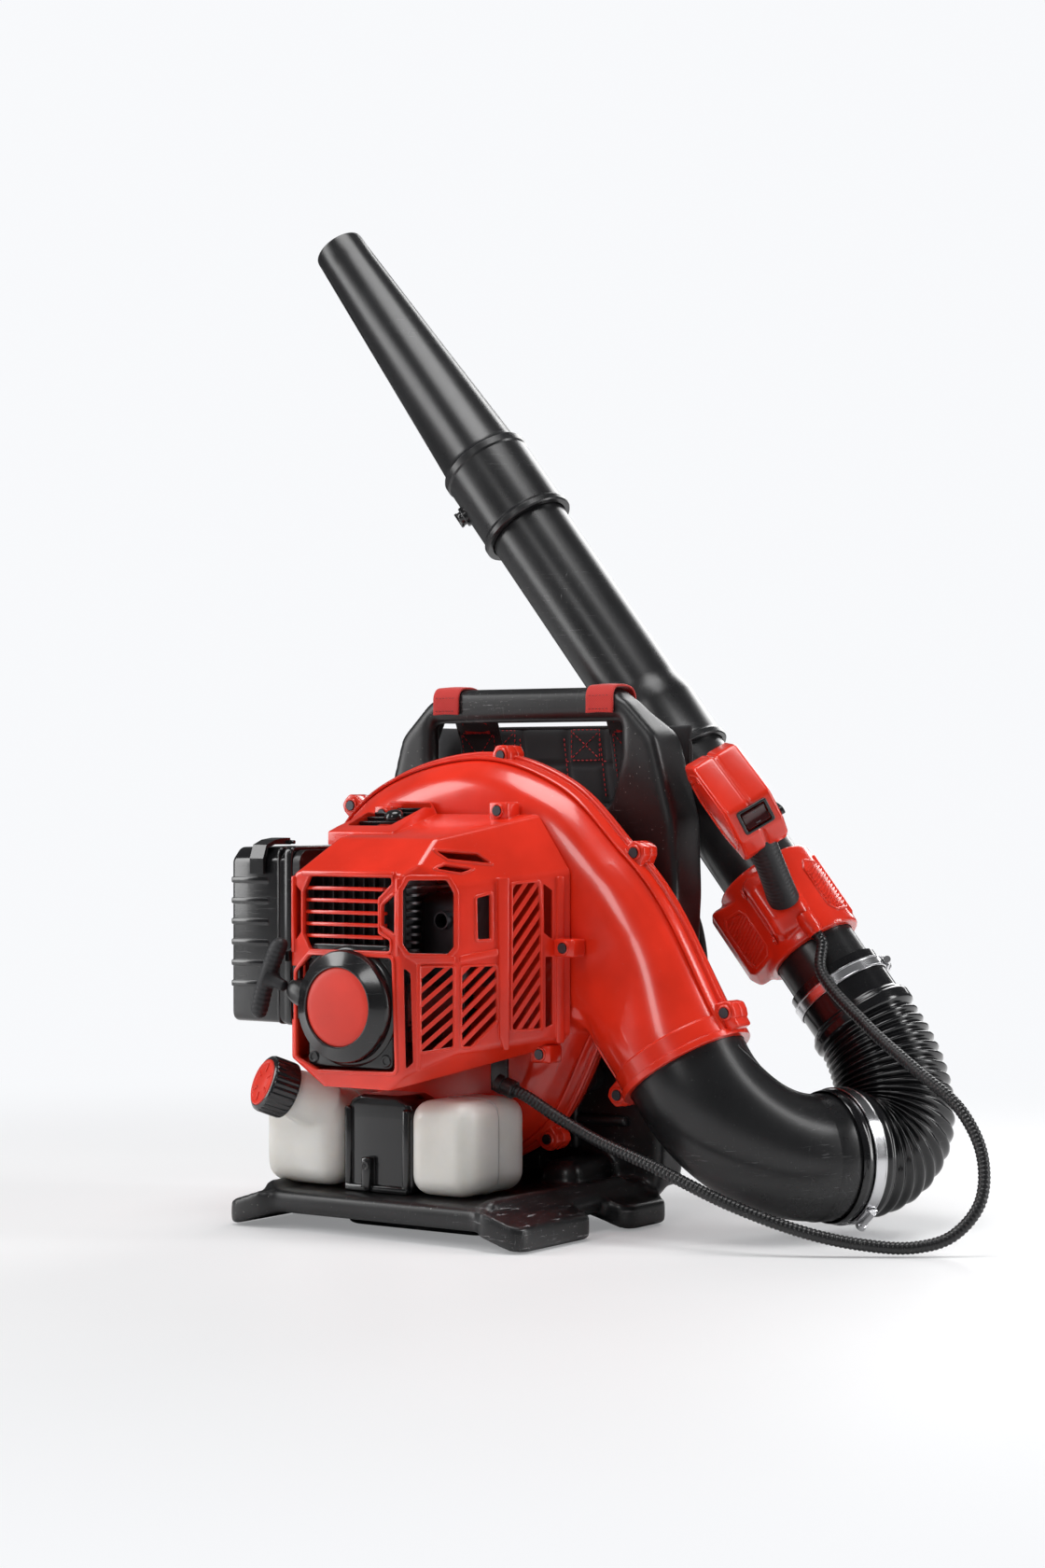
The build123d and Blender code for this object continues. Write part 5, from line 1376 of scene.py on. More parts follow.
# ribbed pads on the two sloping faces: w and v of the face's edge, side, slope
PAD = [(-31, 8), (-24, 4.5), (17, 4.5), (26, 9), (22, 27), (15, 31), (-22, 31), (-29, 26)]
RIB_SLANT, RIB_PITCH, RIB_WIDTH = 68, 3.6, 1.7
for w, v, side, slope in ((-58, 8, -1, 0.80), (54, 17, 1, 0.42)):
    normal = unit(HANDLE_OUT + HANDLE_SIDE * side * slope)
    at = matrix_of(on_handle(-3, v, w) + normal * 0.2, TUBE_DIR, np.cross(normal, TUBE_DIR),
                   normal)
    outline = ccw([np.array([p[0], p[1] * side], float) for p in PAD])
    centre = sum(outline) / len(outline)
    parts.append(plate(outline, 1.8, 0.6, at, [scaled(outline, centre, 0.90)[::-1]], 2))
    for strip in stripes(scaled(outline, centre, 0.86), RIB_SLANT * side, RIB_PITCH, RIB_WIDTH):
        parts.append(plate(strip, 2.2, 0.5, at, res=1))


# the pad on the round side: a rim and slanting ribs that follow the ring
def on_ring(u, degrees, radius=48.3):
    angle = math.radians(degrees)
    return on_handle(u, radius * math.cos(angle), 6 + radius * math.sin(angle))


ROUND_PAD = [(-31, 42), (-24, 34), (17, 34), (26, 41), (22, 66), (15, 74), (-22, 74), (-29, 66)]
outline = fillet_poly(ROUND_PAD, 3, 4)
outline = resample(np.array(outline + [outline[0]]), 1.0)
parts.append(sweep([on_ring(*p) for p in outline], 1.0, 10, cap=False))
for strip in stripes(scaled(ROUND_PAD, (-2.5, 54), 0.88), RIB_SLANT, RIB_PITCH, RIB_WIDTH):
    # each rib runs along its strip's longest diagonal
    a, b = max(((a, b) for i, a in enumerate(strip) for b in strip[:i]),
               key=lambda ends: np.linalg.norm(ends[0] - ends[1]))
    if np.linalg.norm(b - a) > 5:
        parts.append(sweep([on_ring(*(a + (b - a) * t)) for t in np.linspace(0, 1, 14)],
                           0.95, 10))
for u in (-26, 26):
    parts.append(lathe(on_handle(u, 38, -27.2), -HANDLE_SIDE,
                       [(0, 5), (0.9, 4.8), (0.9, 3.0), (-0.4, 2.6), (-0.4, 0)], 24, 30))
parts.append(lathe(on_handle(-24, 50, 6), -TUBE_DIR, [
    (0, 8.5), (15, 8.5), (16.2, 7.6), (22, 7.4), (22, 5.6), (14, 5.6)], 48, 35))
assemble("handle_collar_body", parts, RED, 40, "handle_collar", "blower_tube")


# rubber grip between the collar and the head, ribbed on one side
def grip_body(rows=110, seg=48):
    start, end = np.array([-2.0, 55.0]), np.array([50.0, 122.0])
    along = unit(end - start)
    across = np.array([-along[1], along[0]])
    verts = []
    for i in range(rows):
        t = i / (rows - 1)
        belly = math.sin(math.pi * t)
        centre = start + (end - start) * t + across * (2.2 * belly)
        half_width, half_depth = 17.6 - 1.6 * belly, 14.6 - 1.2 * belly
        s = t * np.linalg.norm(end - start)
        rib = 0.55 * (0.5 + 0.5 * math.cos(math.tau * s / 4.4)) if 8 < s < 76 else 0.0
        for k in range(seg):
            c, s = math.cos(math.tau * k / seg), math.sin(math.tau * k / seg)
            inset = rib if abs(s) > 0.35 or c < 0 else 0
            u, v = centre + across * c * (half_width - inset)
            verts.append(on_handle(u, v, -2.0 * (1 - t)) + HANDLE_SIDE * s * (half_depth - inset))
    return mesh(verts, skin_faces(rows, seg), GRIP, "handle_grip_body")


register(finish(recalc(grip_body()), 60), "handle_grip", "blower_tube")

# ---- control head: two moulded halves with a parting seam and a pocket for the rocker
HEAD = fillet_poly([(30, 108), (62, 92), (112, 88), (130, 100), (134, 122), (118, 150),
                    (60, 160), (36, 142), (28, 124)], 8)
HEAD_HALF, HEAD_GAP = 23, 0.35
rocker_across = unit(np.cross(unit(-0.6 * TUBE_DIR + 0.8 * HANDLE_OUT), HANDLE_SIDE))
ROCKER_AT = matrix_of(on_handle(48, 151, 0), HANDLE_SIDE, rocker_across,
                      np.cross(HANDLE_SIDE, rocker_across))
parts = []
for w0, w1 in ((-HEAD_HALF, -HEAD_GAP), (HEAD_GAP, HEAD_HALF)):
    half = plate(HEAD, w1 - w0, 3.4, handle_plane((w0 + w1) / 2), res=4)
    parts.append(boolean(half, rbox((-12.6, -9.0, -9), (12.6, 9.0, 6), 0.4, 1, ROCKER_AT)))
core = plate(scaled(HEAD, (80, 124), 0.97), 40, 1, handle_plane(0), res=1)
parts.append(boolean(core, rbox((-12.9, -9.3, -8.8), (12.9, 9.3, 6), 0.4, 1, ROCKER_AT)))
outline = scaled(HEAD, (84, 124), 0.80)
for w in (-HEAD_HALF, HEAD_HALF):           # raised line round each cheek
    parts.append(plate(outline, 1.8, 0.6, handle_plane(w),
                       [scaled(outline, (84, 124), 0.94)[::-1]], 2))
for u, v, sides in ((122, 112, (-1, 1)), (108, 140, (-1, 1)), (44, 132, (-1,))):
    for side in sides:
        parts.append(lathe(on_handle(u, v, HEAD_HALF * side), HANDLE_SIDE * side, [
            (0, 4.6), (0.8, 4.4), (0.8, 2.8), (-0.3, 2.6), (-0.3, 0)], 24, 30))
assemble("control_head_body", parts, RED, 36, "control_head", "blower_tube")


def rect(half_x, half_y):
    return [(-half_x, -half_y), (half_x, -half_y), (half_x, half_y), (-half_x, half_y)]


register(plate(fillet_poly(rect(15.5, 11.5), 3, 4), 3.4, 0.9, ROCKER_AT,
               [fillet_poly(rect(12.6, 9.0), 1.2, 3)[::-1]], 2, mat=GLOSS, name="switch_bezel"),
         body="blower_tube")

# rocker cap: a dished section carried sideways, its two end stations a little lower
SECTION = [(-6.6, -3.0), (-7.3, 3.2), (-6.7, 3.8), (-3.0, 2.0), (0.0, 1.5), (3.0, 2.0),
           (6.7, 3.8), (7.3, 3.2), (6.6, -3.0)]
STATIONS = 7
verts = []
for i in range(STATIONS):
    drop = 0.6 if i in (0, STATIONS - 1) else 0.0
    x = -11.4 + 22.8 * i / (STATIONS - 1)
    verts += [(x, y, z - 1.4 - (drop if z > 0 else 0)) for y, z in SECTION]
rocker = recalc(mesh(verts, skin_faces(STATIONS, len(SECTION)), SWITCH, "rocker_cap"))
rocker.data.transform(ROCKER_AT)
finish(recalc(rocker), 35)
marks = join("rocker_marks", [rbox((-2.2, y - 0.45, 1.0), (2.2, y + 0.45, 1.95), 0.2, 1,
                                   ROCKER_AT) for y in (-5.2, 5.2)], GREY)
register(rocker, "stop_switch", "switch")
register(marks, body="switch")

# ---- fuel tank: two lobes, a bridge and the neck melted together, with seams round the lobes
CAP = np.array([-109.0, -130, 130])
CAP_DIR = unit((-0.46, -0.81, 0.356))
tank = join("fuel_tank_body", [
    rbox((-143, -104, 38), (-57, -16, 123.5), 19, 6),
    rbox((23, -104, 38), (90, -8, 122), 17, 6),
    rbox((-70, -40, 46), (40, -17, 99), 8, 4),
    lathe(CAP, CAP_DIR, [(-58, 0), (-58, 27), (-20, 21.5), (-14, 18.6), (-3, 18), (-3, 0)],
          72, 40)])
remesh(tank, 2.2, 12)
parts = [tank]
for (x0, z0), (x1, z1), y in (((-143, 38), (-57, 123.5), -60), ((23, 38), (90, 122), -56)):
    seam = fillet_poly([(x0, z0), (x1, z0), (x1, z1), (x0, z1)], 19, 8)
    seam = resample(np.array(seam + [seam[0]]), 3)
    parts.append(sweep([(x + (0.5 if x < (x0 + x1) / 2 else -0.5), y, z) for x, z in seam],
                       0.75, 8))
assemble("fuel_tank_body", parts, MILKY, None, "fuel_tank")

# saddle between the lobes
assemble("tank_saddle_body", [
    plate(fillet_poly([(-55.5, 36.4), (-55.5, 104), (-48, 118), (-36, 123), (4, 123),
                       (16, 118), (21.5, 104), (21.5, 36.4)], 8), 46, 4.5, on_xz(-69), res=4),
    rbox((-53, -95.6, 37), (-45.5, -88, 112), 2.6),
    rbox((11.5, -95.6, 37), (19, -88, 112), 2.6),
    rbox((-31, -99.6, 37), (-21, -90, 68), 2.4),
    rbox((-52, -96.2, 36.4), (18, -89, 43), 2.0),
    lathe((-26, -99.4, 60), TO_FRONT,
          [(0, 4.4), (0.5, 4.2), (0.5, 2.4), (-1.2, 2.2), (-1.2, 0)], 24, 30)],
    GLOSS, 36, "tank_saddle")

# fuel cap: a fluted skirt, a red disc and six raised arms
cap_x, cap_y, cap_z = basis(CAP_DIR)
SKIRT = [(-18, 24.6), (-17, 25.6), (-15.5, 26.0), (4.0, 26.0), (6.0, 25.4), (7.6, 23.6),
         (8.2, 22.0), (7.4, 21.2)]
SKIRT_SEG, FLUTES = 240, 30
verts = []
for along, radius in SKIRT:
    for k in range(SKIRT_SEG):
        angle = math.tau * k / SKIRT_SEG
        inset = 0.2
        if -15.6 <= along <= 4.2:
            inset = 1.25 * (0.45 - 0.45 * math.cos(angle * FLUTES))
        verts.append(CAP + cap_z * along + around(cap_x, cap_y, angle) * (radius - inset))
skirt = recalc(mesh(verts, skin_faces(len(SKIRT), SKIRT_SEG, caps=False), GLOSS))
parts = [lathe(CAP, CAP_DIR, [
    (7.2, 21.4), (8.6, 21.2), (9.4, 20.2), (9.2, 19.0), (8.2, 18.2), (8.2, 9), (8.6, 8.2),
    (8.6, 0)], 96, 30, mat=RED_SATIN), skirt]
for k in range(6):
    out = around(cap_x, cap_y, math.pi / 3 * k)
    parts.append(rbox((9.6, -1.1, 7.9), (17.4, 1.1, 9.3), 0.5, 2,
                      matrix_of(CAP, out, np.cross(cap_z, out), cap_z), RED_SATIN))
assemble("fuel_cap_body", parts, None, 35, "fuel_cap", "cap_turn")


# ---- back frame: an upright sheet with a carry opening, a rim wall, a deck and feet
def mirrored(half):
    """A 2D outline and its reflection in X, as one loop."""
    return half + [(-x, z) for x, z in half[::-1]]


sheet = fillet_poly(mirrored([(-150, 18), (-160, 120), (-169, 300), (-167, 366), (-145, 445),
                              (-112, 478), (-90, 488)]), 22, 6)
opening = fillet_poly(mirrored([(-96, 380), (-108, 425), (-108, 456), (-104, 461)]), 12)


def rim_wall():
    """Wall from the sheet's edge towards +Y, shallower over the top bar and near the deck."""
    loop = resample(np.array(sheet + [sheet[0]]), 5.0)
    loop = loop[loop[:, 1] > 26]
    loop = np.array(sorted(loop, key=lambda p: math.atan2(p[0], p[1] - 240)))
    verts = []
    thick = 12.0
    for p, inward in zip(loop, -outward(loop)):
        top = smooth01((p[1] - 425) / 55.0) * smooth01((150 - abs(p[0])) / 30.0)
        deep = 160 - 17 * top - 10 * smooth01((90 - p[1]) / 60.0)
        section = [(0, 112), (0, deep - 5), (2.2, deep - 1), (5, deep), (thick - 4, deep),
                   (thick - 1, deep - 2), (thick, deep - 6), (thick + 4 * (1 - top), 124),
                   (thick + 8 * (1 - top), 112)]
        verts += [(p[0] + inward[0] * off, y, p[1] + inward[1] * off) for off, y in section]
    return recalc(mesh(verts, skin_faces(len(loop), len(section))))


def foot(side, y0, y1):
    """Foot that thins and drops towards its outer edge."""
    outline = fillet_poly([(side * 112, y0), (side * 163, y0), (side * 163, y1),
                           (side * 112, y1)], 16)[::side]
    n = len(outline)
    verts = []
    for z, drop in ((13, 12.6), (36, 13)):
        verts += [(x, y, z - drop * smooth01((abs(x) - 112) / 51.0)) for x, y in outline]
    faces = [tuple(range(n))[::-1], tuple(range(n, 2 * n))]
    faces += [(i, (i + 1) % n, (i + 1) % n + n, i + n) for i in range(n)]
    return recalc(mesh(verts, faces))


deck = [(-132, -124), (132, -124), (138, -10), (138, 60), (145, 132), (-145, 132), (-138, 60),
        (-138, -10)]
parts = [
    plate(sheet, 19, 7, on_xz(118), [opening[::-1]], 4),
    rim_wall(),
    plate(fillet_poly([(-112, 458), (112, 458), (104, 486), (90, 490), (-90, 490),
                       (-104, 486)], 9, 4), 35, 11, on_xz(126), res=4),
    plate(fillet_poly(deck, 20), 22, 9,
          matrix_of((0, 0, 25), (1, 0, 0), (0, 1, 0), (0, 0, 1)), res=4)]
parts += [foot(side, *span) for side in (-1, 1) for span in ((-130, -12), (40, 112))]
parts.append(rbox((-75, -65, 0.2), (75, 65, 16), 6, 4))
parts += [rbox((x, 40, 22), (x + 42, 122, 58), 14, 5) for x in (-104, 62)]
parts += [rbox((x, -118, 30), (x + 16, 96, 42), 5, 4) for x in (-128, 112)]
back = remesh(join("back_frame_body", parts), 3.0, 9)
ribs = [rbox((x - 5, 100.5, 60), (x + 5, 112, 350), 4.4) for x in (-62, 0, 62)]
ribs += [rbox((-120, 101.5, z - 5), (120, 112, z + 5), 4.4) for z in (90, 200, 320)]
assemble("back_frame_body", [back] + ribs, MOULDED, 60, "back_frame")


# ---- soft goods
def stitches(pts, mat=THREAD, length=3.0, gap=1.8, radius=0.5):
    """Dashed thread along a line of points."""
    pts = resample(np.array(pts, float), 0.5)
    dist = arc_length(pts)
    verts, faces = [], []
    start = gap
    while start + length < dist[-1]:
        line = interp_at([start + length * k / 4 for k in range(5)], dist, pts)
        x, y, _ = basis(unit(line[-1] - line[0]))
        faces += skin_faces(5, 6, caps=False, start=len(verts))
        for p, swell in zip(line, (0.4, 0.9, 1.0, 0.9, 0.4)):
            verts += [p + around(x, y, a * math.pi / 3) * radius * swell for a in range(6)]
        start += length + gap
    return mesh(verts, faces, mat)


STRAP_WIDTH, STRAP_THICK = 50, 11.5
CHANNELS = [26, 74, 122, 176, 228, 282, 336, 392]   # stitched lines across, by length
STRAP_PATH = catmull([(0, y, z) for y, z in (
    (150, 474), (164, 440), (172, 395), (181, 350), (214, 308), (248, 262), (258, 210),
    (242, 150), (200, 104), (166, 80))], 2.0)
STRAP_DIST = arc_length(STRAP_PATH)
STRAP_NORMAL = np.cross(tangents(STRAP_PATH), (1.0, 0, 0))      # towards the frame
CHANNEL_ROWS = [int(np.argmin(abs(STRAP_DIST - c))) for c in CHANNELS]


def channel_gap(s):
    return min(abs(s - c) for c in CHANNELS)


def padding(s, u):
    """Half thickness of the strap at a length and a sideways fraction."""
    puff = 0.5 + 0.5 * min(1.0, channel_gap(s) / 26.0)
    return STRAP_THICK / 2 * ((1 - 0.45 * u * u) * puff + 0.16)


def padded_strap(centre, seed, seg=36):
    """Padded band crowned both ways, with the stitched channels pulled into it."""
    phase = np.random.default_rng(seed).uniform(0, 6.28, 6)
    verts = []
    for i, s in enumerate(STRAP_DIST):
        end = min(1.0, min(s, STRAP_DIST[-1] - s) / (STRAP_THICK * 1.1))
        end = math.sqrt(max(0.0, 1 - (1 - end) ** 2))
        gap = channel_gap(s)
        channel = math.exp(-(gap / 3.2) ** 2)
        half = (STRAP_WIDTH / 2 - 1.4 * min(1.0, gap / 30.0) * 0.6) * (0.35 + 0.65 * end)
        for k in range(seg):
            u, v = squircle(math.tau * k / seg, 3.4)
            edge = math.exp(-((abs(u) - 0.80) / 0.055) ** 2) * 0.9
            thick = padding(s, u) - (1.6 * channel + edge) * (1 if abs(v) > 0.3 else 0)
            thick += 0.24 * math.sin(s / 17 + phase[0] + u * 3) * math.sin(
                s / 7.3 + phase[1] + 2 * u)
            verts.append(strap_point(centre, i, half * u, v * max(thick, 1.2) * max(end, 0.15)))
    return finish(recalc(mesh(verts, skin_faces(len(STRAP_DIST), seg), FABRIC)))


def strap_point(centre, i, across, lift):
    """Row i of a strap, moved sideways and towards the frame."""
    return STRAP_PATH[i] + np.array([centre + across, 0, 0]) + STRAP_NORMAL[i] * lift


def strap(name, centre, seed, replaces=None):
    parts = [padded_strap(centre, seed)]
    for side in (-1, 1):                    # piping down both edges
        edge = STRAP_PATH[4:-4] + np.array([centre + side * 23.6, 0, 0])
        parts.append(sweep(edge, 1.5, 10, mat=BLACK_WEB))
    # webbing along the middle of the face away from the frame
    rows = range(6, len(STRAP_DIST) - 6)
    verts = []
    for i in rows:
        lift = 5.2 * (0.55 + 0.45 * min(1, channel_gap(STRAP_DIST[i]) / 26.0)) + 0.9
        verts += [strap_point(centre, i, u, -(lift + extra)) for u, extra in (
            (-12.5, -0.6), (-12.2, 0.9), (0, 1.2), (12.2, 0.9), (12.5, -0.6))]
    parts.append(thicken(mesh(verts, sheet_faces(len(rows), 5), BLACK_WEB), 1.1, BLACK_WEB))
    for i in CHANNEL_ROWS:                  # stitching across both faces
        for face in (1, -1):
            parts.append(stitches([
                strap_point(centre, i, u, face * 3.3 * (1 - 0.30 * (u / 25) ** 2))
                for u in np.linspace(-19, 19, 20)]))
    # a stitched cross and sides in the first two sections, on the face towards the frame
    for i0, i1 in zip(CHANNEL_ROWS[:2], CHANNEL_ROWS[1:3]):
        for u0, u1 in ((-19, 19), (19, -19), (-19, -19), (19, 19)):
            line = []
            for k in range(25):
                t = k / 24
                i = int(round(i0 + (i1 - i0) * t))
                u = u0 + (u1 - u0) * t
                line.append(strap_point(centre, i, u, padding(STRAP_DIST[i], u / 25) + 0.15))
            parts.append(stitches(line))
    register(join(name, parts), replaces)


strap("shoulder_strap_left", -STRAP_X, 3, "shoulder_straps")
strap("shoulder_strap_right", STRAP_X, 8)

# harness yoke seen through the carry opening, between the straps
YOKE_X, YOKE_Y, YOKE_Z = 22, 140.5, 417
YOKE_CHANNELS = (-0.62, -0.27, 0.08, 0.36, 0.66)    # as fractions of the half width
COLS, ROWS = 110, 40
verts = []
for side in (1, -1):
    for v in (-1 + 2 * j / (ROWS - 1) for j in range(ROWS)):
        for u in (-1 + 2 * i / (COLS - 1) for i in range(COLS)):
            crown = (1 - abs(u) ** 5) ** 0.5 * (1 - abs(v) ** 4) ** 0.5
            channel = max([math.exp(-((u - c + 0.03 * v) / 0.028) ** 2) for c in YOKE_CHANNELS]
                          + [math.exp(-((v - 0.05) / 0.07) ** 2) * 0.9])
            verts.append((YOKE_X + u * (148 - 1.8 * (1 - v * v)),
                          YOKE_Y + side * (5.6 * crown * (1 - 0.62 * channel) + 0.3),
                          YOKE_Z + v * (38 - 2.2 * (1 - u * u))))
faces = [(a, d, c, b) for a, b, c, d in sheet_faces(ROWS, COLS)]
yoke = mesh(verts, faces + sheet_faces(ROWS, COLS, ROWS * COLS), FABRIC)
merge(yoke.data, 8e-4)
parts = [finish(yoke)]
yoke_thread = {"radius": 0.55}
for c in YOKE_CHANNELS:
    parts.append(stitches([(YOKE_X + c * 147 - 0.03 * 147 * v - 2.6, 137.0, YOKE_Z + v * 34)
                           for v in np.linspace(-0.9, 0.9, 12)], **yoke_thread))
parts.append(stitches([(YOKE_X + u * 140, 137.4, 421.5) for u in np.linspace(-0.95, 0.95, 12)],
                      **yoke_thread))
for x in (38, -60):                         # crossed boxes
    for rising in (True, False):
        parts.append(stitches([
            (x + 32 * t, 134.4 + 0.2 * math.sin(math.pi * t), 424 + 26 * (t if rising else 1 - t))
            for t in np.linspace(0, 1, 10)], **yoke_thread))
    parts.append(stitches([(x + a, 134.6, z) for a, z in (
        (0, 422.5), (32, 422.5), (32, 451.5), (0, 451.5), (0, 422.5))], **yoke_thread))
edge = [squircle(math.tau * k / 120, 6) for k in range(121)]
parts.append(sweep([(YOKE_X + u * 146.5, YOKE_Y, YOKE_Z + v * 36.6) for u, v in edge], 1.7, 10,
                   cap=False, mat=BLACK_WEB))
yoke = join("harness_yoke", parts)
# centred, and moved towards +Y behind the room kept for a hand
yoke.data.transform(Matrix.Translation((-YOKE_X * MM, 32.5 * MM, 0)))
register(yoke)

# ---- back pad: a plate puffed up by a cloth simulation, then quilted
PAD_WIDTH, PAD_HEIGHT, PAD_THICK, PAD_Y, PAD_Z = 216, 246, 21.5, 128.5, 230


def read_points(me):
    return np.array([v.co for v in me.vertices])


def write_points(me, points):
    me.vertices.foreach_set("co", points.astype(np.float32).ravel())
    me.update()


def puff_up(ob, limit=0.009, last_frame=20):
    """Cloth under inner pressure; no point moves over limit metres or leaves the pad's room."""
    scene = bpy.context.scene
    scene.frame_set(1)
    cloth = ob.modifiers.new("cloth", "CLOTH").settings
    cloth.quality = 6
    cloth.mass = 0.25
    cloth.tension_stiffness = 25
    cloth.compression_stiffness = 25
    cloth.shear_stiffness = 8
    cloth.bending_stiffness = 1.2
    cloth.use_pressure = True
    cloth.uniform_pressure_force = 3.5
    cloth.effector_weights.gravity = 0
    for f in range(1, last_frame + 1):
        scene.frame_set(f)
    rest = read_points(ob.data)
    graph = bpy.context.evaluated_depsgraph_get()
    got = read_points(ob.evaluated_get(graph).data)
    ob.modifiers.clear()
    scene.frame_set(1)
    if np.isfinite(got).all():              # keeps the flat pad if the simulation blows up
        move = got - rest
        length = np.linalg.norm(move, axis=1)
        shorten = np.where(length > limit, limit / np.maximum(length, 1e-9), 1.0)
        room = np.array([(-0.113, 0.1284, 0.104), (0.113, 0.1515, 0.356)])
        write_points(ob.data, np.clip(rest + move * shorten[:, None], *room))


pad = plate(fillet_poly(rect(PAD_WIDTH / 2, PAD_HEIGHT / 2), 40, 10), PAD_THICK * 0.55,
            PAD_THICK * 0.24, on_xz(PAD_Y + PAD_THICK * 0.36))
pad.data.transform(Matrix.Translation((0, 0, PAD_Z * MM)))
remesh(pad, 4.5, 0)
puff_up(pad)
subdivide = pad.modifiers.new("subdivide", "SUBSURF")
subdivide.levels = 1
subdivide.render_levels = 1
apply_mods(pad)

# quilting lines pressed into the +Y face, in metres
points = read_points(pad.data)
x, y, z = points.T
crown = ((1 - np.clip(abs(x) / 0.113, 0, 1) ** 4)
         * (1 - np.clip(abs(z - 0.230) / 0.127, 0, 1) ** 4))
quilt = np.zeros(len(points))
for coord, lines in ((x, (-0.052, 0.052)), (z, (0.150, 0.204, 0.258, 0.312))):
    for at in lines:
        quilt = np.maximum(quilt, np.exp(-((coord - at) / 0.0035) ** 2))
points[:, 1] = np.where(y > 0.136, y - 0.0048 * quilt + 0.0005 * crown, y)
write_points(pad.data, points)
set_material(pad, NET)
finish(pad)


def pad_loop(inset, radius, y):
    half_x, half_z = PAD_WIDTH / 2 - inset, PAD_HEIGHT / 2 - inset
    loop = fillet_poly([(x, PAD_Z + z) for x, z in rect(half_x, half_z)], radius, 10)
    return [(p[0], y, p[1]) for p in loop + [loop[0]]]


register(join("back_pad_body", [
    pad, sweep(pad_loop(0, 40, 139.5), 2.6, 10, cap=False, mat=BLACK_WEB),
    stitches(pad_loop(8, 34, 148.6), gap=2.0)]), "back_pad")

# ---- webbing tabs wrapped round both ends of the top bar, with tails down to the straps
TAB = catmull([(0, y, z) for y, z in (
    (106.5, 466), (106.6, 476), (107.5, 484), (112, 490.0), (120, 491.6), (132, 491.4),
    (141, 488.5), (145.4, 481), (146, 470), (146, 459.5))], 1.5)
TAIL = catmull([(0, 146, 470), (0, 150, 462), (0, 157, 452), (0, 163.5, 440)], 1.5)
parts = []
for centre in (-STRAP_X, STRAP_X):
    verts = [(centre + u + 0.25 * math.sin(i / 3), p[1], p[2] + 0.35 * math.cos(u / 6))
             for i, p in enumerate(TAB) for u in np.linspace(-15, 15, 9)]
    parts.append(thicken(mesh(verts, sheet_faces(len(TAB), 9), RED_WEB), 2.2, RED_WEB, 0.7))
    for y, z in ((104.9, 469.5), (105.9, 482)):
        parts.append(stitches([(centre + u, y, z) for u in np.linspace(-13, 13, 8)],
                              DARK_THREAD, 2.4, 1.4, 0.4))
    verts = [(centre + u, p[1] + 0.8, p[2]) for p in TAIL for u in np.linspace(-14.5, 14.5, 7)]
    parts.append(thicken(mesh(verts, sheet_faces(len(TAIL), 7), RED_WEB), 1.8, RED_WEB))
assemble("strap_loop_tabs", parts, None, 45, "strap_loops")

# buckles at the straps' lower ends, each with two slots
BUCKLE_NORMAL = unit((0, 0.92, -0.4))
parts = []
for centre in (-STRAP_X, STRAP_X):
    at = matrix_of((centre, 158.0, 70.0), (1, 0, 0), np.cross(BUCKLE_NORMAL, (1, 0, 0)),
                   BUCKLE_NORMAL)
    slots = [fillet_poly([(-12.5, y), (12.5, y), (12.5, y + 7), (-12.5, y + 7)], 1, 2)[::-1]
             for y in (-9.5, 2.5)]
    parts.append(plate(fillet_poly(rect(17, 13), 4, 4), 5.5, 1.6, at, slots, 2))
assemble("strap_buckle_bodies", parts, GLOSS, 40, "strap_buckles")

# ---- air filter cover on the -X side
parts = [
    plate(fillet_poly([(-95, 182), (-5, 182), (-5, 335), (-13, 342), (-84, 342), (-95, 331)], 9),
          73, 5.5, on_yz(-149), res=4),
    plate(fillet_poly([(-96, 180.5), (-4, 180.5), (-4, 343.5), (-96, 343.5)], 8), 9, 2.2,
          on_yz(-117.5)),
    plate(fillet_poly([(-95.6, 181), (-4.4, 181), (-4.4, 343), (-95.6, 343)], 8), 3.2, 1.2,
          on_yz(-128.5), res=2)]
for k in range(6):
    z = 214 + k * 19
    parts.append(rbox((-184.6, -96.0, z), (-140, -92.5, z + 6), 1.6, 2))
parts.append(plate(fillet_poly([(-84, 196), (-16, 196), (-16, 326), (-26, 332), (-76, 332),
                                (-84, 324)], 7, 4), 4, 1.8, on_yz(-184.2)))
for k in range(5):
    z = 210 + k * 24
    parts.append(rbox((-186.0, -76, z), (-183, -24, z + 6), 1.3, 2))
assemble("air_filter_cover_body", parts, GLOSS, 38, "air_filter_cover",
         "filter_lid")

parts = [lathe((-92, -65, z), TO_FRONT, [
    (0, 2.2), (length - 4, 2.2), (length - 4, 3.6), (length - 0.5, 3.6), (length, 3.1),
    (length, 0)], 28, 30) for z, length in ((272, 9), (256, 12), (246, 7))]
assemble("carburetor_screws", parts, BRASS, 35)

# ---- materials of the CAD pieces; visible ones not listed are black
CAD_MATERIALS = [
    (DARK_STEEL, "housing_screws muffler cover_screws piston_rings"),
    (BLACK, "intake_guard intake_insulator air_filter_base impeller starter_pulley "
            "cruise_lever air_filter_cover choke_lever"),
    (STEEL, "crank_bearings spark_plug recoil_spring crankshaft engine_pins con_rod"),
    (CAST, "crankcase cylinder carburetor flywheel piston"),
    (GREY, "ignition_coil trigger"),
    (RUBBER, "spark_plug_boot fuel_lines isolators primer_bulb fuel_cap_seal"),
    (FELT, "air_filter_element"),
    (ROPE, "starter_rope"),
    (SWITCH, "stop_switch"),
    (GLOSS, "filter_latch")]
listed = {name: mat for mat, names in CAD_MATERIALS for name in names.split()}
for name, mat in listed.items():
    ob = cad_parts[name]
    set_material(ob, mat)
    for p in ob.data.polygons:
        p.material_index = 0
for name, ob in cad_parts.items():
    if name not in listed and not ob.hide_render:
        set_material(ob, BLACK)

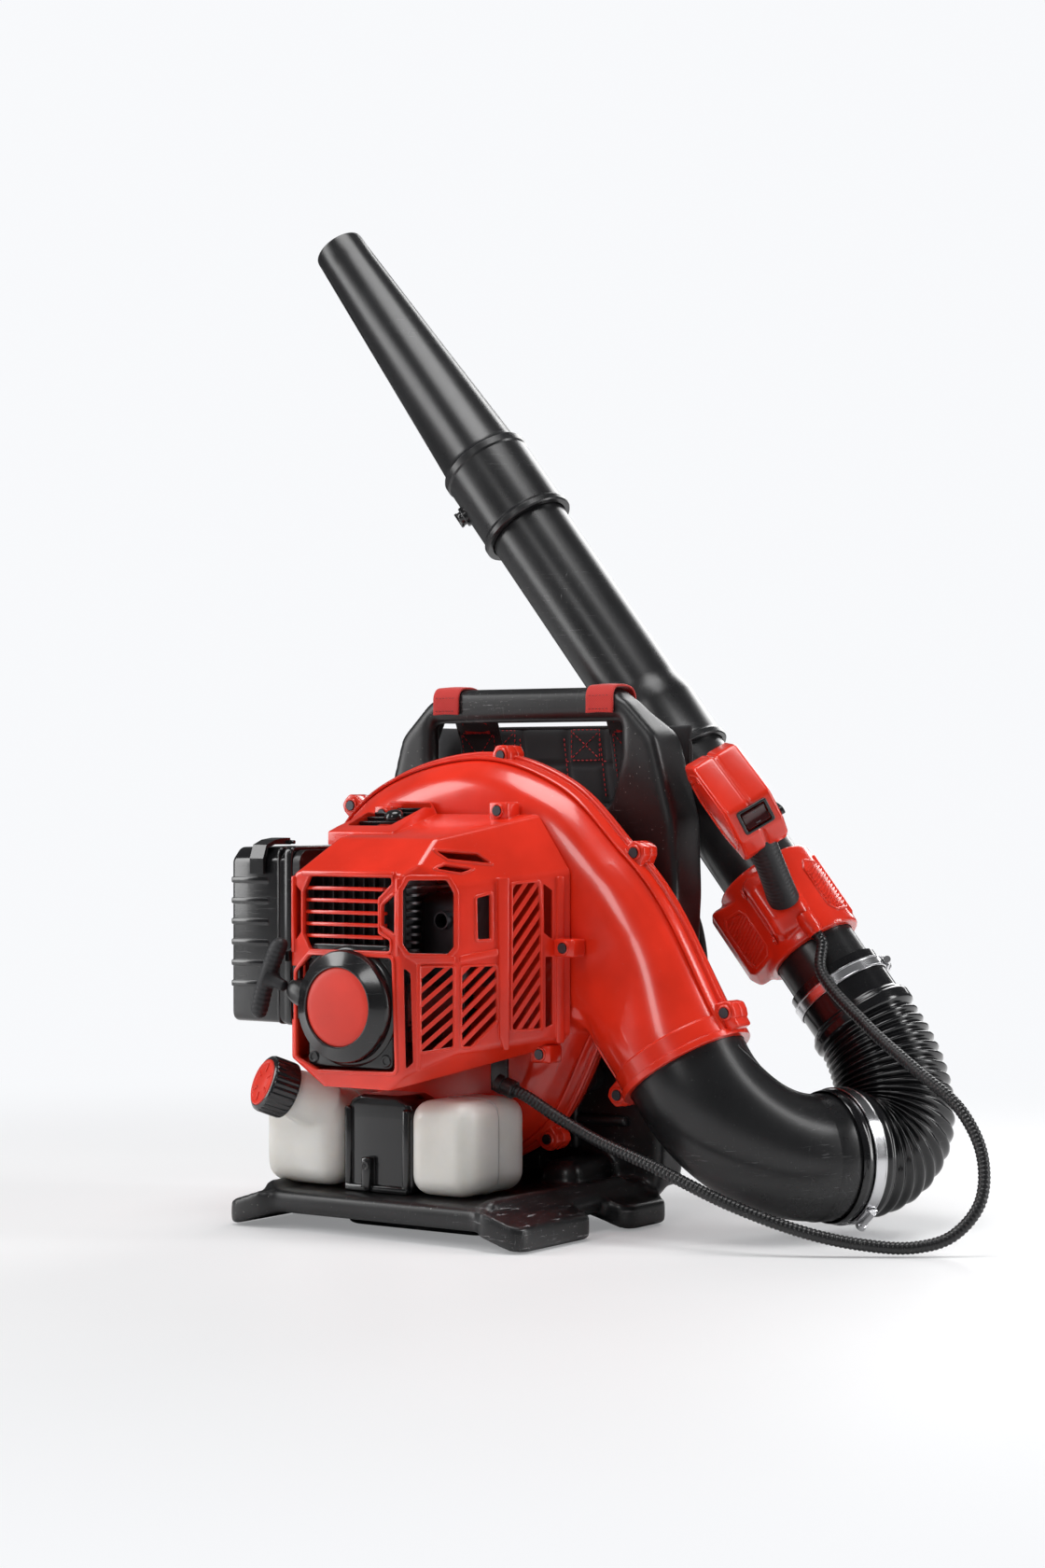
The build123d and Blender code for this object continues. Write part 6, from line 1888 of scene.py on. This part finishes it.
# ---- floor: pale, fading for the camera into the backdrop's white with distance
BACKDROP = (0.97, 0.98, 1.0, 1)
bpy.ops.mesh.primitive_plane_add(size=24, location=(0, 0, 0))
floor = bpy.context.object
floor.name = "floor"
pale = Shader("floor_pale")
pale.set(Base_Color=pale.mix(pale.noise(3, 3), (0.88, 0.88, 0.885), (0.92, 0.92, 0.925)),
         Roughness=0.5)
distance = pale.node("VectorMath", {0: pale.coords}, operation="LENGTH").outputs["Value"]
# from 0.45 m to 1.5 m the backdrop's share goes from a quarter to all
fade = pale.node("MapRange", {0: distance, 1: 0.45, 2: 1.5, 3: 0.25, 4: 1.0},
                 interpolation_type="SMOOTHERSTEP").outputs[0]
camera_ray = pale.node("LightPath").outputs["Is Camera Ray"]
glow = pale.node("Emission", {"Color": BACKDROP, "Strength": 0.97}).outputs[0]
blend = pale.node("MixShader", {0: pale.math("MULTIPLY", fade, camera_ray),
                                1: pale.surface.outputs[0], 2: glow})
pale.feed(pale.out.inputs[0], blend.outputs[0])
floor.data.materials.append(pale.material)

# ---- lights, all aimed at the blower's middle: name, place (m), width, height, power (W)
AIM = Vector((0.05, 0.0, 0.40))
for name, place, width, height, power in (
        ("key_left", (-2.1, -1.5, 1.3), 0.9, 2.4, 42),
        ("key_right", (2.5, 1.3, 1.0), 0.55, 2.6, 42),
        ("top", (0.1, -0.2, 2.7), 1.5, 1.3, 40),
        ("front_strip", (0.2, -3.0, 1.9), 0.7, 1.2, 17),
        ("rim", (-0.4, 2.5, 1.5), 1.2, 1.6, 30)):
    light = bpy.data.lights.new(name, "AREA")
    light.shape = "RECTANGLE"
    light.size = width
    light.size_y = height
    light.energy = power
    ob = link(name, light)
    ob.location = place
    ob.rotation_euler = (AIM - Vector(place)).to_track_quat("-Z", "Y").to_euler()

# world: bright to the camera, dim as a light
world = bpy.data.worlds.new("studio")
bpy.context.scene.world = world
world.use_nodes = True
tree = world.node_tree
background = tree.nodes["Background"]
background.inputs["Color"].default_value = BACKDROP
light_path = tree.nodes.new("ShaderNodeLightPath")
strength = tree.nodes.new("ShaderNodeMath")
strength.operation = "MULTIPLY_ADD"
strength.inputs[1].default_value = 0.86     # added for camera rays
strength.inputs[2].default_value = 0.11     # for every ray
tree.links.new(light_path.outputs["Is Camera Ray"], strength.inputs[0])
tree.links.new(strength.outputs[0], background.inputs["Strength"])

# ---- camera, level, looking towards -X and +Y
lens = bpy.data.cameras.new("camera")
camera = link("camera", lens)
lens.sensor_fit = "VERTICAL"
lens.sensor_height = 36.0
lens.sensor_width = 36.0
lens.lens = 70.7142857
lens.clip_start = 0.05
lens.clip_end = 60
RIGHT, LOOK = (0.8192, 0.5736), (-0.5736, 0.8192)
camera.matrix_world = Matrix(((RIGHT[0], 0, -LOOK[0], 1.66173),
                              (RIGHT[1], 0, -LOOK[1], -2.26475),
                              (0, 1, 0, 0.400), (0, 0, 0, 1)))
bpy.context.scene.camera = camera
bpy.context.scene.view_settings.view_transform = "Standard"
bpy.context.scene.view_settings.look = "None"
